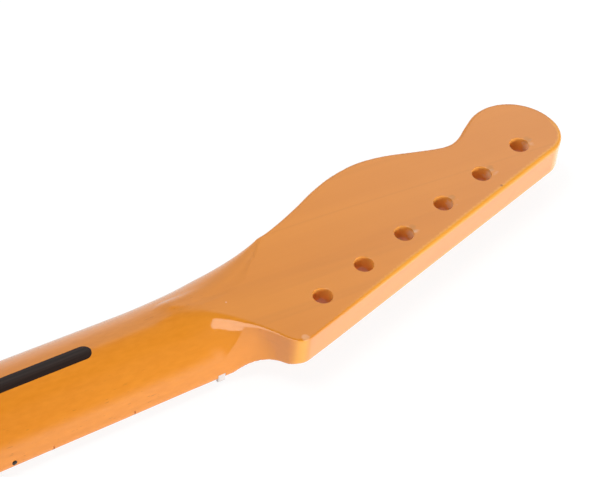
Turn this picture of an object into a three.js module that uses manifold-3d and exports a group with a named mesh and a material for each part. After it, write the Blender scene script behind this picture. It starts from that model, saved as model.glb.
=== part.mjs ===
// A bolt-on electric guitar neck in millimetres: one piece of maple with its truss rod let in from the back.
// The neck is drawn from the nut: x runs towards the headstock's tip, y towards the treble side, and z from
// the fretboard's plane up to the back, so the neck lies on its frets. The group at the end moves the origin
// to the middle of the four screws in the heel.
import * as THREE from 'three';
import { mergeVertices } from 'three/addons/utils/BufferGeometryUtils.js';
import Module from 'manifold-3d';

const wasm = await Module();
wasm.setup();
const { lerp, clamp, smoothstep, degToRad } = THREE.MathUtils;

// Scale and fretboard
const scaleLength = 647.7;
const octaveFrets = 12;
const fretCount = 21;
const boardPastLastFret = 6.862;
const nutWidth = 41.4;
const heelWidth = 56;
const boardRadius = 241;

// Shaft and heel
const depthAtNut = 20;
const depthAtHeelRamp = 22.6;
const sideHeight = 2.2;
const backFullness = 1.62;
const heelDepth = 25.4;
const heelLength = 76;
const heelRampLength = 44;
const heelEdgeRadius = 1.6;
const heelCornerRadius = 3;
const screwSpacingAlong = 50.8;
const screwSpacingAcross = 38.1;
const screwMiddleFromEnd = 38.1;
const pilotDiameter = 3.2;
const pilotDepth = 16;

// Headstock
const headstockLength = 180.9;
const headstockThickness = 14.1;
const headstockBack = 21.05;
const headstockEdgeRadius = 1.2;
const headstockHump = 35.9;
const ledgeLength = 7;
const scoopLength = 21.7;
const tunerCount = 6;
const tunerSpacing = 23.65;
const tunerHoleDiameter = 7.8;
const firstTunerFromNut = 46.2;
const firstTunerFromMiddle = 17.75;
const tunerLineAngle = degToRad(15.8);
const tunerLineToEdge = 11.35;
const tipRadius = 20.2;
const tipMiddleToEdge = 14.9;
const tipStartAngle = degToRad(119.6);
const tipCornerRadius = 2.6;
const shoulderFromNut = 26.2;
const shoulderCornerRadius = 7.5;
const lipPointRadius = 0.4;
const throatRadius = 19.5;
const trebleBlendStart = 24;
const trebleBlendLength = 64;
const trebleBlendPower = 2.8;
const backBlendStart = 15;
const backBlendLength = 20;
const trebleRiseStart = 24;
const riseChangeStart = 4;
const riseChangeWidth = 10;

// Nut, frets and dots
const nutThickness = 3.2;
const nutSeatDepth = 2.7;
const nutStandHeight = 2.2;
const stringToNutEnd = 2.95;
const stringCount = 6;
const stringSlotDepth = 0.9;
const bassSlotWidth = 1.3;
const trebleSlotWidth = 0.5;
const crownWidth = 2.1;
const crownHeight = 1.1;
const tangThickness = 0.6;
const tangDepth = 1.9;
const fretEndInset = 0.3;
const faceDotDiameter = 6.35;
const faceDotDepth = 2.2;
const sideDotDiameter = 2;
const sideDotDepth = 3;
const sideDotAboveEdge = 2;
const octaveDotSpacing = 24;
const octaveSideDotSpacing = 7;
const dotFrets = [3, 5, 7, 9, 12, 15, 17, 19, 21];

// Truss rod
const rodDiameter = 4.76;
const rodNutEndHeight = 8.4;
const rodHeelEndHeight = 10;
const rodBow = 3.5;
const stripeWidth = 6.35;
const stripeStart = 43.9;
const stripeEndFromHeel = 57;
const anchorDiameter = 6.8;
const anchorLength = 8;
const anchorFromNut = 18;
const plugEnd = 34;
const trussNutDiameter = 9.2;
const trussNutLength = 14;
const trussNutRecess = 1;
const trussSlotWidth = 1.8;
const trussSlotDepth = 3;
const washerThickness = 1.5;

// Fit and cutting
const gap = 0.3;
const overrun = 4;

// Counts of steps in curved surfaces
const boardSteps = 8;
const wireSteps = 6;
const sideSteps = 12;
const rampSteps = 8;
const growthSteps = 21;
const throatSteps = 8;
const boreSides = 24;
const smallSides = 16;

const maple = { color: 0xe0964b, roughness: 0.25, metalness: 0 };
const walnut = { color: 0x3a2c2e, roughness: 0.35, metalness: 0 };
const steel = { color: 0x8d9094, roughness: 0.4, metalness: 1 };
const fretWire = { color: 0xc9c6bd, roughness: 0.25, metalness: 1 };
const nutWhite = { color: 0xf0ebe4, roughness: 0.4, metalness: 0 };
const dotBlack = { color: 0x1a1512, roughness: 0.3, metalness: 0 };

const neck = new THREE.Group();

// Solids

function solidOf(geometry) {
  const bare = new THREE.BufferGeometry();
  bare.setAttribute('position', geometry.getAttribute('position').clone());
  if (geometry.index) bare.setIndex(geometry.index.clone());
  const merged = mergeVertices(bare);
  const vertProperties = new Float32Array(merged.getAttribute('position').array);
  const triVerts = new Uint32Array(merged.index.array);
  return new wasm.Manifold(new wasm.Mesh({ numProp: 3, vertProperties, triVerts }));
}

function geometryOf(solid) {
  const { vertProperties, triVerts } = solid.getMesh();
  const geometry = new THREE.BufferGeometry();
  geometry.setAttribute('position', new THREE.BufferAttribute(vertProperties, 3));
  geometry.setIndex(new THREE.BufferAttribute(triVerts, 1));
  geometry.computeVertexNormals();
  return geometry;
}

function addPiece(name, geometry, finish) {
  const mesh = new THREE.Mesh(geometry, new THREE.MeshStandardMaterial(finish));
  mesh.name = name;
  neck.add(mesh);
}

// Joins rings of points, each seen anticlockwise from the last ring's side, into one closed body.
function loft(rings) {
  const count = rings[0].length;
  const positions = rings.flat().flatMap((point) => point.toArray());
  const index = [];
  for (let ring = 0; ring < rings.length - 1; ring++) {
    for (let i = 0; i < count; i++) {
      const a = ring * count + i;
      const b = ring * count + ((i + 1) % count);
      index.push(a, b, b + count, a, b + count, a + count);
    }
  }
  const capOf = (ring) => {
    const normal = new THREE.Vector3();
    ring.forEach((point, i) => normal.add(point.clone().cross(ring[(i + 1) % count])));
    const turn = new THREE.Quaternion().setFromUnitVectors(normal.normalize(), new THREE.Vector3(0, 0, 1));
    const flat = ring.map((point) => point.clone().applyQuaternion(turn));
    return THREE.ShapeUtils.triangulateShape(flat.map((point) => new THREE.Vector2(point.x, point.y)), []);
  };
  const last = (rings.length - 1) * count;
  capOf(rings[0]).forEach(([a, b, c]) => index.push(c, b, a));
  capOf(rings.at(-1)).forEach(([a, b, c]) => index.push(a + last, b + last, c + last));
  const geometry = new THREE.BufferGeometry();
  geometry.setAttribute('position', new THREE.Float32BufferAttribute(positions, 3));
  geometry.setIndex(index);
  return geometry;
}

// A cylinder along x, y or z from one place to another on that axis.
function rod(axis, from, to, radius, middle, sides = boreSides) {
  const geometry = new THREE.CylinderGeometry(radius, radius, to - from, sides);
  if (axis === 'x') geometry.rotateZ(-Math.PI / 2);
  if (axis === 'z') geometry.rotateX(Math.PI / 2);
  const place = middle.clone();
  place[axis] = (from + to) / 2;
  return solidOf(geometry.translate(place.x, place.y, place.z));
}

function block(low, high) {
  const size = high.clone().sub(low);
  const middle = low.clone().add(high).divideScalar(2);
  const geometry = new THREE.BoxGeometry(size.x, size.y, size.z);
  return solidOf(geometry.translate(middle.x, middle.y, middle.z));
}

const cutAll = (solid, cutters) => cutters.reduce((left, cutter) => left.subtract(cutter), solid);

// Points of the arc that rounds the corner between two straight stretches.
function roundedCorner(before, corner, after, radius, steps = smallSides / 4) {
  const toBefore = before.clone().sub(corner).normalize();
  const toAfter = after.clone().sub(corner).normalize();
  const halfAngle = Math.acos(clamp(toBefore.dot(toAfter), -1, 1)) / 2;
  const middle = toBefore.clone().add(toAfter).normalize().multiplyScalar(radius / Math.sin(halfAngle)).add(corner);
  const start = toBefore.multiplyScalar(radius / Math.tan(halfAngle)).add(corner).sub(middle);
  const end = toAfter.multiplyScalar(radius / Math.tan(halfAngle)).add(corner).sub(middle);
  const turn = Math.atan2(start.cross(end), start.dot(end));
  return Array.from({ length: steps + 1 }, (_, i) =>
    start.clone().rotateAround(new THREE.Vector2(), (turn * i) / steps).add(middle));
}

// Places along the neck

const fretPlace = (fret) => scaleLength / 2 ** (fret / octaveFrets) - scaleLength;
const nutToHeel = boardPastLastFret - fretPlace(fretCount);
const dotPlace = (fret) => (fretPlace(fret - 1) + fretPlace(fret)) / 2;
const boardFace = (y) => boardRadius - Math.sqrt(boardRadius ** 2 - y ** 2);
const heelBlockEdge = heelLength - nutToHeel;
const rampEnd = heelBlockEdge + heelRampLength;

// Headstock outline, seen from the back

const headstockFace = headstockBack - headstockThickness;
const edgeDirection = new THREE.Vector2(Math.cos(tunerLineAngle), Math.sin(tunerLineAngle));
const outward = new THREE.Vector2(edgeDirection.y, -edgeDirection.x);
const firstTuner = new THREE.Vector2(firstTunerFromNut, -firstTunerFromMiddle);
const edgeStart = firstTuner.clone().addScaledVector(outward, tunerLineToEdge);
const edgePointAt = (x) => edgeStart.clone().addScaledVector(edgeDirection, (x - edgeStart.x) / edgeDirection.x);
const tipX = headstockLength - tipRadius;
const tipMiddle = edgePointAt(tipX + outward.x * tipMiddleToEdge).addScaledVector(outward, -tipMiddleToEdge);
const onTip = (angle) => new THREE.Vector2(Math.cos(angle), Math.sin(angle)).multiplyScalar(tipRadius).add(tipMiddle);
const tipEndAngle = tunerLineAngle - Math.acos(0) + Math.acos(tipMiddleToEdge / tipRadius);

// The treble edge in shares of the way to the tip's circle and of the hump
const tipStart = onTip(tipStartAngle);
const trebleEdgeShares = [
  [0.018, 0.577], [0.072, 0.573], [0.138, 0.55], [0.204, 0.531], [0.271, 0.537], [0.335, 0.612],
  [0.41, 0.733], [0.478, 0.857], [0.553, 0.957], [0.635, 1], [0.715, 0.96], [0.802, 0.854],
  [0.853, 0.793], [0.886, 0.769], [0.91, 0.778], [0.936, 0.825], [0.964, 0.905],
];
const trebleEdge = new THREE.SplineCurve([
  ...trebleEdgeShares.map(([along, out]) => new THREE.Vector2(along * tipStart.x, out * headstockHump)),
  tipStart,
]);
const trebleEdgePoints = trebleEdge.getPoints(trebleEdgeShares.length * 3);

// The lip where the headstock's back ends over the shaft, in shares of the shoulder's place and half the nut.
// It runs from the shoulder to a point near the middle, and from there back to the treble edge.
const lipShares = [
  [0.79, -1.25], [0.64, -0.98], [0.447, -0.714], [0.307, -0.53], [0.13, -0.29], [-0.09, -0.06], [-0.28, 0.2],
];
const trebleLipShares = [[-0.28, 0.2], [0.25, 0.17], [0.57, 0.23], [0.95, 0.38], [1.26, 0.56]];
const lipCurve = (shares) => new THREE.SplineCurve(
  shares.map(([along, out]) => new THREE.Vector2(along * shoulderFromNut, (out * nutWidth) / 2)));
const lipPoints = lipCurve(lipShares).getPoints(lipShares.length * 2);
const trebleLipPoints = lipCurve(trebleLipShares).getPoints(trebleLipShares.length * 2 - 2);

function headstockOutline() {
  const shoulder = edgePointAt(shoulderFromNut);
  const tipCorner = onTip(tipEndAngle);
  const tipSteps = smallSides;
  const cornerTurn = tipCornerRadius / tipRadius;
  const tip = Array.from({ length: tipSteps }, (_, i) =>
    onTip(lerp(tipStartAngle, tipEndAngle + cornerTurn, (i + 1) / tipSteps)));
  const blendEnd = trebleBlendLength - trebleBlendStart;
  return [
    ...roundedCorner(edgeStart, shoulder, lipPoints[0], shoulderCornerRadius),
    ...lipPoints.slice(0, -2),
    ...roundedCorner(lipPoints.at(-3), lipPoints.at(-1), trebleLipPoints[1], headstockEdgeRadius + lipPointRadius),
    ...trebleLipPoints.slice(1),
    ...trebleEdgePoints.filter((point) => point.x > blendEnd),
    ...tip.slice(0, -1),
    ...roundedCorner(tip.at(-1), tipCorner, edgeStart, tipCornerRadius),
  ];
}

function headstockSlab() {
  const shape = new THREE.Shape(headstockOutline());
  const geometry = new THREE.ExtrudeGeometry(shape, {
    depth: headstockThickness - 2 * headstockEdgeRadius,
    bevelThickness: headstockEdgeRadius,
    bevelSize: headstockEdgeRadius,
    bevelOffset: -headstockEdgeRadius,
    bevelSegments: 3,
    curveSegments: 1,
  });
  return solidOf(geometry.translate(0, 0, headstockFace + headstockEdgeRadius));
}

// The shoulder's wall goes down past the headstock's face to the hollow behind the nut.
function shoulder() {
  const shape = new THREE.Shape(headstockOutline());
  const height = headstockFace + headstockEdgeRadius - sideHeight;
  const geometry = new THREE.ExtrudeGeometry(shape, { depth: height, bevelEnabled: false });
  const besideThroat = block(
    new THREE.Vector3(-headstockLength, -headstockLength, 0),
    new THREE.Vector3(shoulderFromNut - 2 * headstockEdgeRadius, 0, headstockBack));
  return solidOf(geometry.translate(0, 0, sideHeight)).intersect(besideThroat);
}

// Shaft, heel block and the part of the headstock that grows out of the shaft

function trebleEdgeAt(x) {
  const after = trebleEdgePoints.findIndex((point) => point.x > x);
  const [a, b] = [trebleEdgePoints[after - 1], trebleEdgePoints[after]];
  return lerp(a.y, b.y, (x - a.x) / (b.x - a.x));
}

function halfWidth(x, side) {
  if (x > trebleEdgePoints[0].x) return side > 0 ? trebleEdgeAt(x) : nutWidth / 2;
  const fromEnd = clamp(x + nutToHeel, 0, heelCornerRadius);
  const cornerInset = heelCornerRadius - Math.sqrt(heelCornerRadius ** 2 - (heelCornerRadius - fromEnd) ** 2);
  return lerp(nutWidth, heelWidth, clamp(-x / nutToHeel, 0, 1)) / 2 - cornerInset;
}

// The back's highest point over x. Towards the headstock the treble side rises before the bass side does.
function backHeight(x, y) {
  const shaft = lerp(depthAtNut, depthAtHeelRamp, -x / -rampEnd);
  const trebleShare = smoothstep(y, -riseChangeStart, riseChangeWidth - riseChangeStart);
  const riseStart = -lerp(backBlendStart, trebleRiseStart, trebleShare);
  const towardsHeadstock = smoothstep(x, riseStart, riseStart + backBlendLength);
  return lerp(lerp(shaft, heelDepth, heelShare(x)), headstockBack, towardsHeadstock);
}

// How far the section has gone from the shaft's round back, 0, to the heel's square block, 1.
const heelShare = (x) => 1 - smoothstep(x, heelBlockEdge, rampEnd);

// How far the treble side has gone from the shaft's round back, 0, to the headstock's flat one, 1.
const flatShare = (x) => clamp((x + trebleBlendStart) / trebleBlendLength, 0, 1) ** trebleBlendPower;

// The back climbs in a curve from a wall at the side, and ends in a flat ledge that widens into the headstock.
function roundPoint(x, side, share) {
  const flat = side > 0 ? flatShare(x) : 0;
  const half = halfWidth(x, side);
  const ledge = (half - headstockEdgeRadius) * flat;
  const angle = Math.min(share * lerp(1, sideSteps / (sideSteps - 1), flat), 1) * Math.acos(0);
  const power = 2 / lerp(backFullness, 2, flat);
  const y = share === 1 ? 0 : ledge + (half - ledge) * Math.max(Math.cos(angle), 0) ** power;
  const depth = backHeight(x, side * y);
  const foot = lerp(sideHeight, depth - headstockEdgeRadius, flat);
  return new THREE.Vector2(y, foot + (depth - foot) * Math.sin(angle) ** power);
}

function squarePoint(half, depth, share) {
  const [wall, corner, back] = [0, 1, 2].map((third) => clamp(share * 3 - third, 0, 1));
  const angle = (corner * Math.PI) / 2;
  const y = lerp(half - heelEdgeRadius + heelEdgeRadius * Math.cos(angle), 0, back);
  const z = lerp(sideHeight, depth - heelEdgeRadius, wall) + heelEdgeRadius * Math.sin(angle);
  return new THREE.Vector2(y, z);
}

function sidePoint(x, side, share) {
  const block = squarePoint(halfWidth(x, side), backHeight(x, 0), share);
  const point = roundPoint(x, side, share).lerp(block, heelShare(x));
  return new THREE.Vector3(x, side * point.x, point.y);
}

function neckSection(x) {
  const bass = halfWidth(x, -1);
  const treble = halfWidth(x, 1);
  const face = Array.from({ length: boardSteps + 1 }, (_, i) => {
    const y = lerp(-bass, treble, i / boardSteps);
    return new THREE.Vector3(x, y, boardFace(y));
  });
  const climb = Array.from({ length: sideSteps + 1 }, (_, i) => sidePoint(x, 1, i / sideSteps));
  const descent = Array.from({ length: sideSteps }, (_, i) => sidePoint(x, -1, 1 - (i + 1) / sideSteps));
  return [...face, ...climb, ...descent];
}

function shaft() {
  const heelCorner = Array.from({ length: 5 }, (_, i) =>
    heelCornerRadius * (1 - Math.cos((i * Math.PI) / 8)) - nutToHeel);
  const ramp = Array.from({ length: rampSteps + 1 }, (_, i) => lerp(heelBlockEdge, rampEnd, i / rampSteps));
  const growth = trebleBlendLength + trebleRiseStart - trebleBlendStart + heelEdgeRadius;
  const neckEnd = Array.from({ length: growthSteps + 1 }, (_, i) => (growth * i) / growthSteps - trebleRiseStart);
  return solidOf(loft([...heelCorner, ...ramp, ...neckEnd].map(neckSection)));
}

// The hollow corner between the shaft's bass side and the headstock's shoulder, as level slices.
function throat() {
  const depth = backHeight(0, -nutWidth / 2);
  const top = headstockBack - headstockEdgeRadius;
  const slice = (z) => {
    const rise = clamp((z - sideHeight) / (depth - sideHeight), 0, 1);
    const half = (nutWidth / 2) * (1 - rise ** backFullness) ** (1 / backFullness);
    const passed = lipPoints.findIndex((point) => point.y > -half);
    const [a, b] = [lipPoints[passed - 1], lipPoints[passed]];
    const meeting = a.clone().lerp(b, (-half - a.y) / (b.y - a.y));
    const alongShaft = meeting.clone().setX(meeting.x - scoopLength);
    const alongLip = a.clone().sub(b).setLength(scoopLength).add(meeting);
    const arc = roundedCorner(alongShaft, meeting, alongLip, throatRadius, throatSteps);
    const into = new THREE.Vector2(1, 1).multiplyScalar(headstockEdgeRadius);
    const inner = [arc.at(-1).clone().add(into), meeting.clone().add(into), arc[0].clone().add(into)];
    return [...arc, ...inner].map((point) => new THREE.Vector3(point.x, point.y, z));
  };
  const heights = Array.from({ length: throatSteps + 1 }, (_, i) => {
    const angle = (i / throatSteps) * Math.PI / 2;
    return lerp(sideHeight, top, Math.sin(angle) ** (2 / backFullness));
  });
  return solidOf(loft([boardFace(nutWidth / 2), ...heights].map(slice)));
}

// What the hollow behind the nut and the headstock's face take away.
function faceCutter() {
  const rise = headstockFace - boardFace(nutWidth / 2);
  const scoopRadius = (scoopLength ** 2 + rise ** 2) / (2 * rise);
  const scoopEnd = ledgeLength + scoopLength;
  const sweep = Math.asin(scoopLength / scoopRadius);
  const hollow = Array.from({ length: rampSteps + 1 }, (_, i) => {
    const angle = sweep * (1 - i / rampSteps);
    const drop = scoopRadius * (1 - Math.cos(angle));
    return new THREE.Vector2(scoopEnd - scoopRadius * Math.sin(angle), headstockFace - drop);
  });
  const end = trebleBlendLength + overrun;
  const profile = [
    ...hollow,
    new THREE.Vector2(end, headstockFace),
    new THREE.Vector2(end, -overrun),
    new THREE.Vector2(ledgeLength, -overrun),
  ];
  const width = 2 * nutWidth;
  const geometry = new THREE.ExtrudeGeometry(new THREE.Shape(profile), { depth: width, bevelEnabled: false });
  return solidOf(geometry.rotateX(Math.PI / 2).translate(0, width / 2, 0));
}

// Truss rod, its channel and the pieces on it

const anchorEnd = -anchorFromNut + anchorLength;
const counterboreDepth = trussNutRecess + trussNutLength + washerThickness + 2 * gap;
const rodStart = anchorEnd - gap;
const rodEnd = -nutToHeel + trussNutRecess + trussSlotDepth + gap;
const rodHeight = (x) => {
  const share = clamp((x - rodStart) / (rodEnd - rodStart), 0, 1);
  return lerp(rodNutEndHeight, rodHeelEndHeight, smoothstep(share, 0, 1)) + rodBow * Math.sin(Math.PI * share) ** 2;
};

class RodCurve extends THREE.Curve {
  getPoint(share, target = new THREE.Vector3()) {
    const x = lerp(rodStart, rodEnd, share);
    return target.set(x, 0, rodHeight(x));
  }
}

function alongRod(radius) {
  const section = new THREE.Shape().absarc(0, 0, radius, 0, 2 * Math.PI);
  return solidOf(new THREE.ExtrudeGeometry(section, {
    steps: 2 * rampSteps,
    curveSegments: smallSides / 2,
    bevelEnabled: false,
    extrudePath: new RodCurve(),
  }));
}

const stripeNutEnd = -stripeStart;
const stripeHeelEnd = stripeEndFromHeel - nutToHeel;

// A slot with round ends whose floor follows the rod at a distance above its middle line.
function rodSlot(width, aboveRod) {
  const ends = [stripeNutEnd - stripeWidth / 2, stripeHeelEnd + stripeWidth / 2];
  const top = heelDepth + overrun;
  const rings = Array.from({ length: rampSteps + 1 }, (_, i) => {
    const x = lerp(ends[1], ends[0], i / rampSteps);
    const floor = rodHeight(x) + aboveRod;
    const corners = [[-width, floor], [width, floor], [width, top], [-width, top]];
    return corners.map(([y, z]) => new THREE.Vector3(x, y / 2, z));
  });
  const caps = ends.map((x) => {
    return rod('z', rodHeight(x) + aboveRod, top, width / 2, new THREE.Vector3(x, 0, 0));
  });
  return solidOf(loft(rings)).add(caps[0]).add(caps[1]);
}

const nutEndAxis = new THREE.Vector3(0, 0, rodNutEndHeight);
const heelEndAxis = new THREE.Vector3(0, 0, rodHeelEndHeight);
const rodHole = rodDiameter / 2 + gap;

// A bore along x with a round end at its headstock end.
function bulletBore(from, to, radius) {
  const profile = [new THREE.Vector2(0, 0), new THREE.Vector2(radius, 0)];
  const cylinderLength = to - from - radius;
  for (let i = 0; i <= smallSides / 4; i++) {
    const angle = (i * Math.PI) / 2 / (smallSides / 4);
    profile.push(new THREE.Vector2(radius * Math.cos(angle), cylinderLength + radius * Math.sin(angle)));
  }
  profile.at(-1).setX(0);
  const geometry = new THREE.LatheGeometry(profile, boreSides);
  return solidOf(geometry.rotateZ(-Math.PI / 2).translate(from, 0, rodNutEndHeight));
}

// Neck blank

const shaftSolid = shaft();
const face = faceCutter();
const anchorBore = bulletBore(-anchorFromNut - gap, plugEnd + gap, anchorDiameter / 2 + gap);

const tunerPlaces = Array.from({ length: tunerCount }, (_, i) =>
  firstTuner.clone().addScaledVector(edgeDirection, i * tunerSpacing));
const tunerHoles = tunerPlaces.map(({ x, y }) => rod('z', headstockFace - overrun, headstockBack + overrun,
  tunerHoleDiameter / 2, new THREE.Vector3(x, y, 0)));

const screwMiddle = screwMiddleFromEnd - nutToHeel;
const pilotHoles = [-1, 1].flatMap((along) => [-1, 1].map((across) => rod('z', heelDepth - pilotDepth,
  heelDepth + overrun, pilotDiameter / 2, new THREE.Vector3(
    screwMiddle + (along * screwSpacingAlong) / 2, (across * screwSpacingAcross) / 2, 0), smallSides)));

const nutSlot = block(
  new THREE.Vector3(-gap, -nutWidth, -overrun),
  new THREE.Vector3(nutThickness + gap, nutWidth, nutSeatDepth + gap));

const fretSlot = (fret) => {
  const x = fretPlace(fret);
  const half = tangThickness / 2 + gap;
  const floor = boardFace(halfWidth(x, 1)) + tangDepth + gap;
  return block(new THREE.Vector3(x - half, -heelWidth, -overrun), new THREE.Vector3(x + half, heelWidth, floor));
};
const frets = Array.from({ length: fretCount }, (_, i) => i + 1);

// Each dot's name, its middle and which face it is let into.
const dotNumber = (fret) => String(fret).padStart(2, '0');
const faceDots = dotFrets.flatMap((fret) => {
  const sides = fret === octaveFrets ? [-1, 1] : [0];
  return sides.map((side) => ({
    name: `face_dot_${dotNumber(fret)}${side < 0 ? '_bass' : ''}${side > 0 ? '_treble' : ''}`,
    middle: new THREE.Vector3(dotPlace(fret), (side * octaveDotSpacing) / 2, 0),
  }));
});
const sideDots = dotFrets.flatMap((fret) => {
  const sides = fret === octaveFrets ? [-1, 1] : [0];
  return sides.map((side) => {
    const x = dotPlace(fret) + (side * octaveSideDotSpacing) / 2;
    return {
      name: `side_dot_${dotNumber(fret)}${side < 0 ? '_low' : ''}${side > 0 ? '_high' : ''}`,
      middle: new THREE.Vector3(x, 0, boardFace(halfWidth(x, -1)) + sideDotAboveEdge),
    };
  });
});
const faceDotCore = (dot, clearance) => rod('z', -overrun, faceDotDepth + clearance,
  faceDotDiameter / 2 + clearance, dot.middle, smallSides);
const sideDotCore = (dot, clearance) => {
  const half = halfWidth(dot.middle.x, -1);
  return rod('y', -half - overrun, -half + sideDotDepth + clearance, sideDotDiameter / 2 + clearance,
    dot.middle, smallSides / 2);
};

const blank = cutAll(shaftSolid.add(headstockSlab()).add(shoulder()).add(throat()).subtract(face), [
  rodSlot(stripeWidth + 2 * gap, 0),
  alongRod(rodHole),
  rod('x', -nutToHeel - overrun, -nutToHeel + counterboreDepth, trussNutDiameter / 2 + gap, heelEndAxis),
  anchorBore,
  nutSlot,
  ...tunerHoles,
  ...pilotHoles,
  ...frets.map(fretSlot),
  ...faceDots.map((dot) => faceDotCore(dot, gap)),
  ...sideDots.map((dot) => sideDotCore(dot, gap)),
]);
addPiece('neck_blank', geometryOf(blank), maple);

// Stripe, rod, anchor, plug and adjusting nut

addPiece('back_stripe', geometryOf(rodSlot(stripeWidth, rodDiameter / 2 + gap).intersect(shaftSolid)), walnut);
addPiece('truss_rod', geometryOf(alongRod(rodDiameter / 2)), steel);

const anchor = rod('x', -anchorFromNut, anchorEnd, anchorDiameter / 2, nutEndAxis)
  .subtract(rod('x', -anchorFromNut - overrun, anchorEnd + overrun, rodHole, nutEndAxis));
addPiece('truss_anchor', geometryOf(anchor), steel);

const plug = bulletBore(anchorEnd + gap, plugEnd, anchorDiameter / 2).subtract(face);
addPiece('anchor_plug', geometryOf(plug), walnut);

const trussNutEnd = -nutToHeel + trussNutRecess;
const washerStart = trussNutEnd + trussNutLength + gap;
const heelRing = (from, to) => rod('x', from, to, trussNutDiameter / 2, heelEndAxis)
  .subtract(rod('x', from - overrun, to + overrun, rodHole, heelEndAxis));
addPiece('truss_washer', geometryOf(heelRing(washerStart, washerStart + washerThickness)), steel);

const crossSlots = [[trussSlotWidth, trussNutDiameter], [trussNutDiameter, trussSlotWidth]].map(([y, z]) => block(
  new THREE.Vector3(trussNutEnd - overrun, -y / 2, rodHeelEndHeight - z / 2),
  new THREE.Vector3(trussNutEnd + trussSlotDepth, y / 2, rodHeelEndHeight + z / 2)));
addPiece('truss_adjusting_nut', geometryOf(cutAll(heelRing(trussNutEnd, trussNutEnd + trussNutLength), crossSlots)),
  steel);

// String nut: its arched top has one slot for each string, wider towards the bass side.
function stringNut() {
  const half = nutWidth / 2;
  const topAt = (y) => boardFace(y) - nutStandHeight;
  const points = [new THREE.Vector2(half, nutSeatDepth), new THREE.Vector2(-half, nutSeatDepth),
    new THREE.Vector2(-half, topAt(half))];
  for (let string = 0; string < stringCount; string++) {
    const share = string / (stringCount - 1);
    const middle = lerp(stringToNutEnd - half, half - stringToNutEnd, share);
    const width = lerp(bassSlotWidth, trebleSlotWidth, share);
    const floor = topAt(middle) + stringSlotDepth;
    points.push(
      new THREE.Vector2(middle - width / 2, topAt(middle)),
      new THREE.Vector2(middle - width / 2, floor - width / 2),
      new THREE.Vector2(middle, floor),
      new THREE.Vector2(middle + width / 2, floor - width / 2),
      new THREE.Vector2(middle + width / 2, topAt(middle)));
  }
  points.push(new THREE.Vector2(half, topAt(half)));
  const geometry = new THREE.ExtrudeGeometry(new THREE.Shape(points), { depth: nutThickness, bevelEnabled: false });
  return geometry.rotateX(Math.PI / 2).rotateZ(Math.PI / 2);
}
addPiece('string_nut', stringNut(), nutWhite);

// Frets: one piece of wire bent to the board, with its crown's ends sloped.
function fretPiece(fret) {
  const x = fretPlace(fret);
  const half = halfWidth(x, 1) - fretEndInset;
  const crownSteps = 4;
  const crown = Array.from({ length: crownSteps + 1 }, (_, i) => {
    const angle = (i * Math.PI) / crownSteps;
    return [(crownWidth / 2) * Math.cos(angle), gap + crownHeight * Math.sin(angle)];
  });
  const tang = tangThickness / 2;
  const profile = [...crown, [-tang, gap], [-tang, -tangDepth], [tang, -tangDepth], [tang, gap]];
  const stations = Array.from({ length: wireSteps + 1 }, (_, i) => lerp(-1, 1, i / wireSteps));
  const rings = stations.map((share) => profile.map(([along, out]) => {
    const y = share * (half - Math.max(out - gap, 0) * Math.abs(share));
    return new THREE.Vector3(x + along, y, boardFace(y) - out);
  }));
  return loft(rings);
}
frets.forEach((fret) => addPiece(`fret_${dotNumber(fret)}`, fretPiece(fret), fretWire));

faceDots.forEach((dot) => addPiece(dot.name, geometryOf(faceDotCore(dot, 0).intersect(shaftSolid)), dotBlack));
sideDots.forEach((dot) => addPiece(dot.name, geometryOf(sideDotCore(dot, 0).intersect(shaftSolid)), dotBlack));

neck.position.set(-screwMiddle, 0, -heelDepth);
const part = new THREE.Group();
part.name = 'guitar_neck';
part.add(neck);

export default part;
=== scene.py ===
import math

import bpy
import numpy as np
from mathutils import Matrix, Vector


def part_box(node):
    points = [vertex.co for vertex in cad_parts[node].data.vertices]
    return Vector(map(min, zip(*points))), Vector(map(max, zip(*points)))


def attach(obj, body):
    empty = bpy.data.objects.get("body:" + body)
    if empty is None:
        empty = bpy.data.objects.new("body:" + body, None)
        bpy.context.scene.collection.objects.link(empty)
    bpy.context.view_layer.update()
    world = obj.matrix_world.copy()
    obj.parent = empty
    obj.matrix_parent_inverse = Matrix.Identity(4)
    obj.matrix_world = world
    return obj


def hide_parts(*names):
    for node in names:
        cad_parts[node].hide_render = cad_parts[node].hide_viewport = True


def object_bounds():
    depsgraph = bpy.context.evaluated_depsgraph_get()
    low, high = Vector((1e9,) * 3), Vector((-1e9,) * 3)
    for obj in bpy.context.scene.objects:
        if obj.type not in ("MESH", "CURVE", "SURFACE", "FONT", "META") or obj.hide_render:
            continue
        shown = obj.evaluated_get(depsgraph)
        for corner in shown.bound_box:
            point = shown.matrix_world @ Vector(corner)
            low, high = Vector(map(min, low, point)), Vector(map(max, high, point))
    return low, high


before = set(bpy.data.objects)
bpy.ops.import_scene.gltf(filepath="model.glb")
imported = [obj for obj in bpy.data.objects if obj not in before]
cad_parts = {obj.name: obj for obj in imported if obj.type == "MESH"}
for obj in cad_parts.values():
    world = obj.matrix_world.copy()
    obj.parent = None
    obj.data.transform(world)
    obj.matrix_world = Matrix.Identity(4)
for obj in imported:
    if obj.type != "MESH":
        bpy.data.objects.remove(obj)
cadLow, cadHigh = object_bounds()
print("frame loaded:", len(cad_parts), "nodes")

# The neck is drawn in millimetres from the nut, as a maker measures it: x towards the tip, y towards the
# treble side, z from the fretboard's plane up to the back. The frame's metres start at the heel's screws.
millimetre = 0.001
boardFromLowest = 2.172  # the string nut's crest lies lowest
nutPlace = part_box("string_nut")[0].x
boardPlane = cadLow.z + boardFromLowest * millimetre


def toFrame(points):
    moved = np.array(points, float) * millimetre
    moved[..., 0] += nutPlace
    moved[..., 2] += boardPlane
    return moved


def toNut(points):
    moved = np.array(points, float)
    moved[..., 0] -= nutPlace
    moved[..., 2] -= boardPlane
    return moved / millimetre


# Node trees

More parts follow.
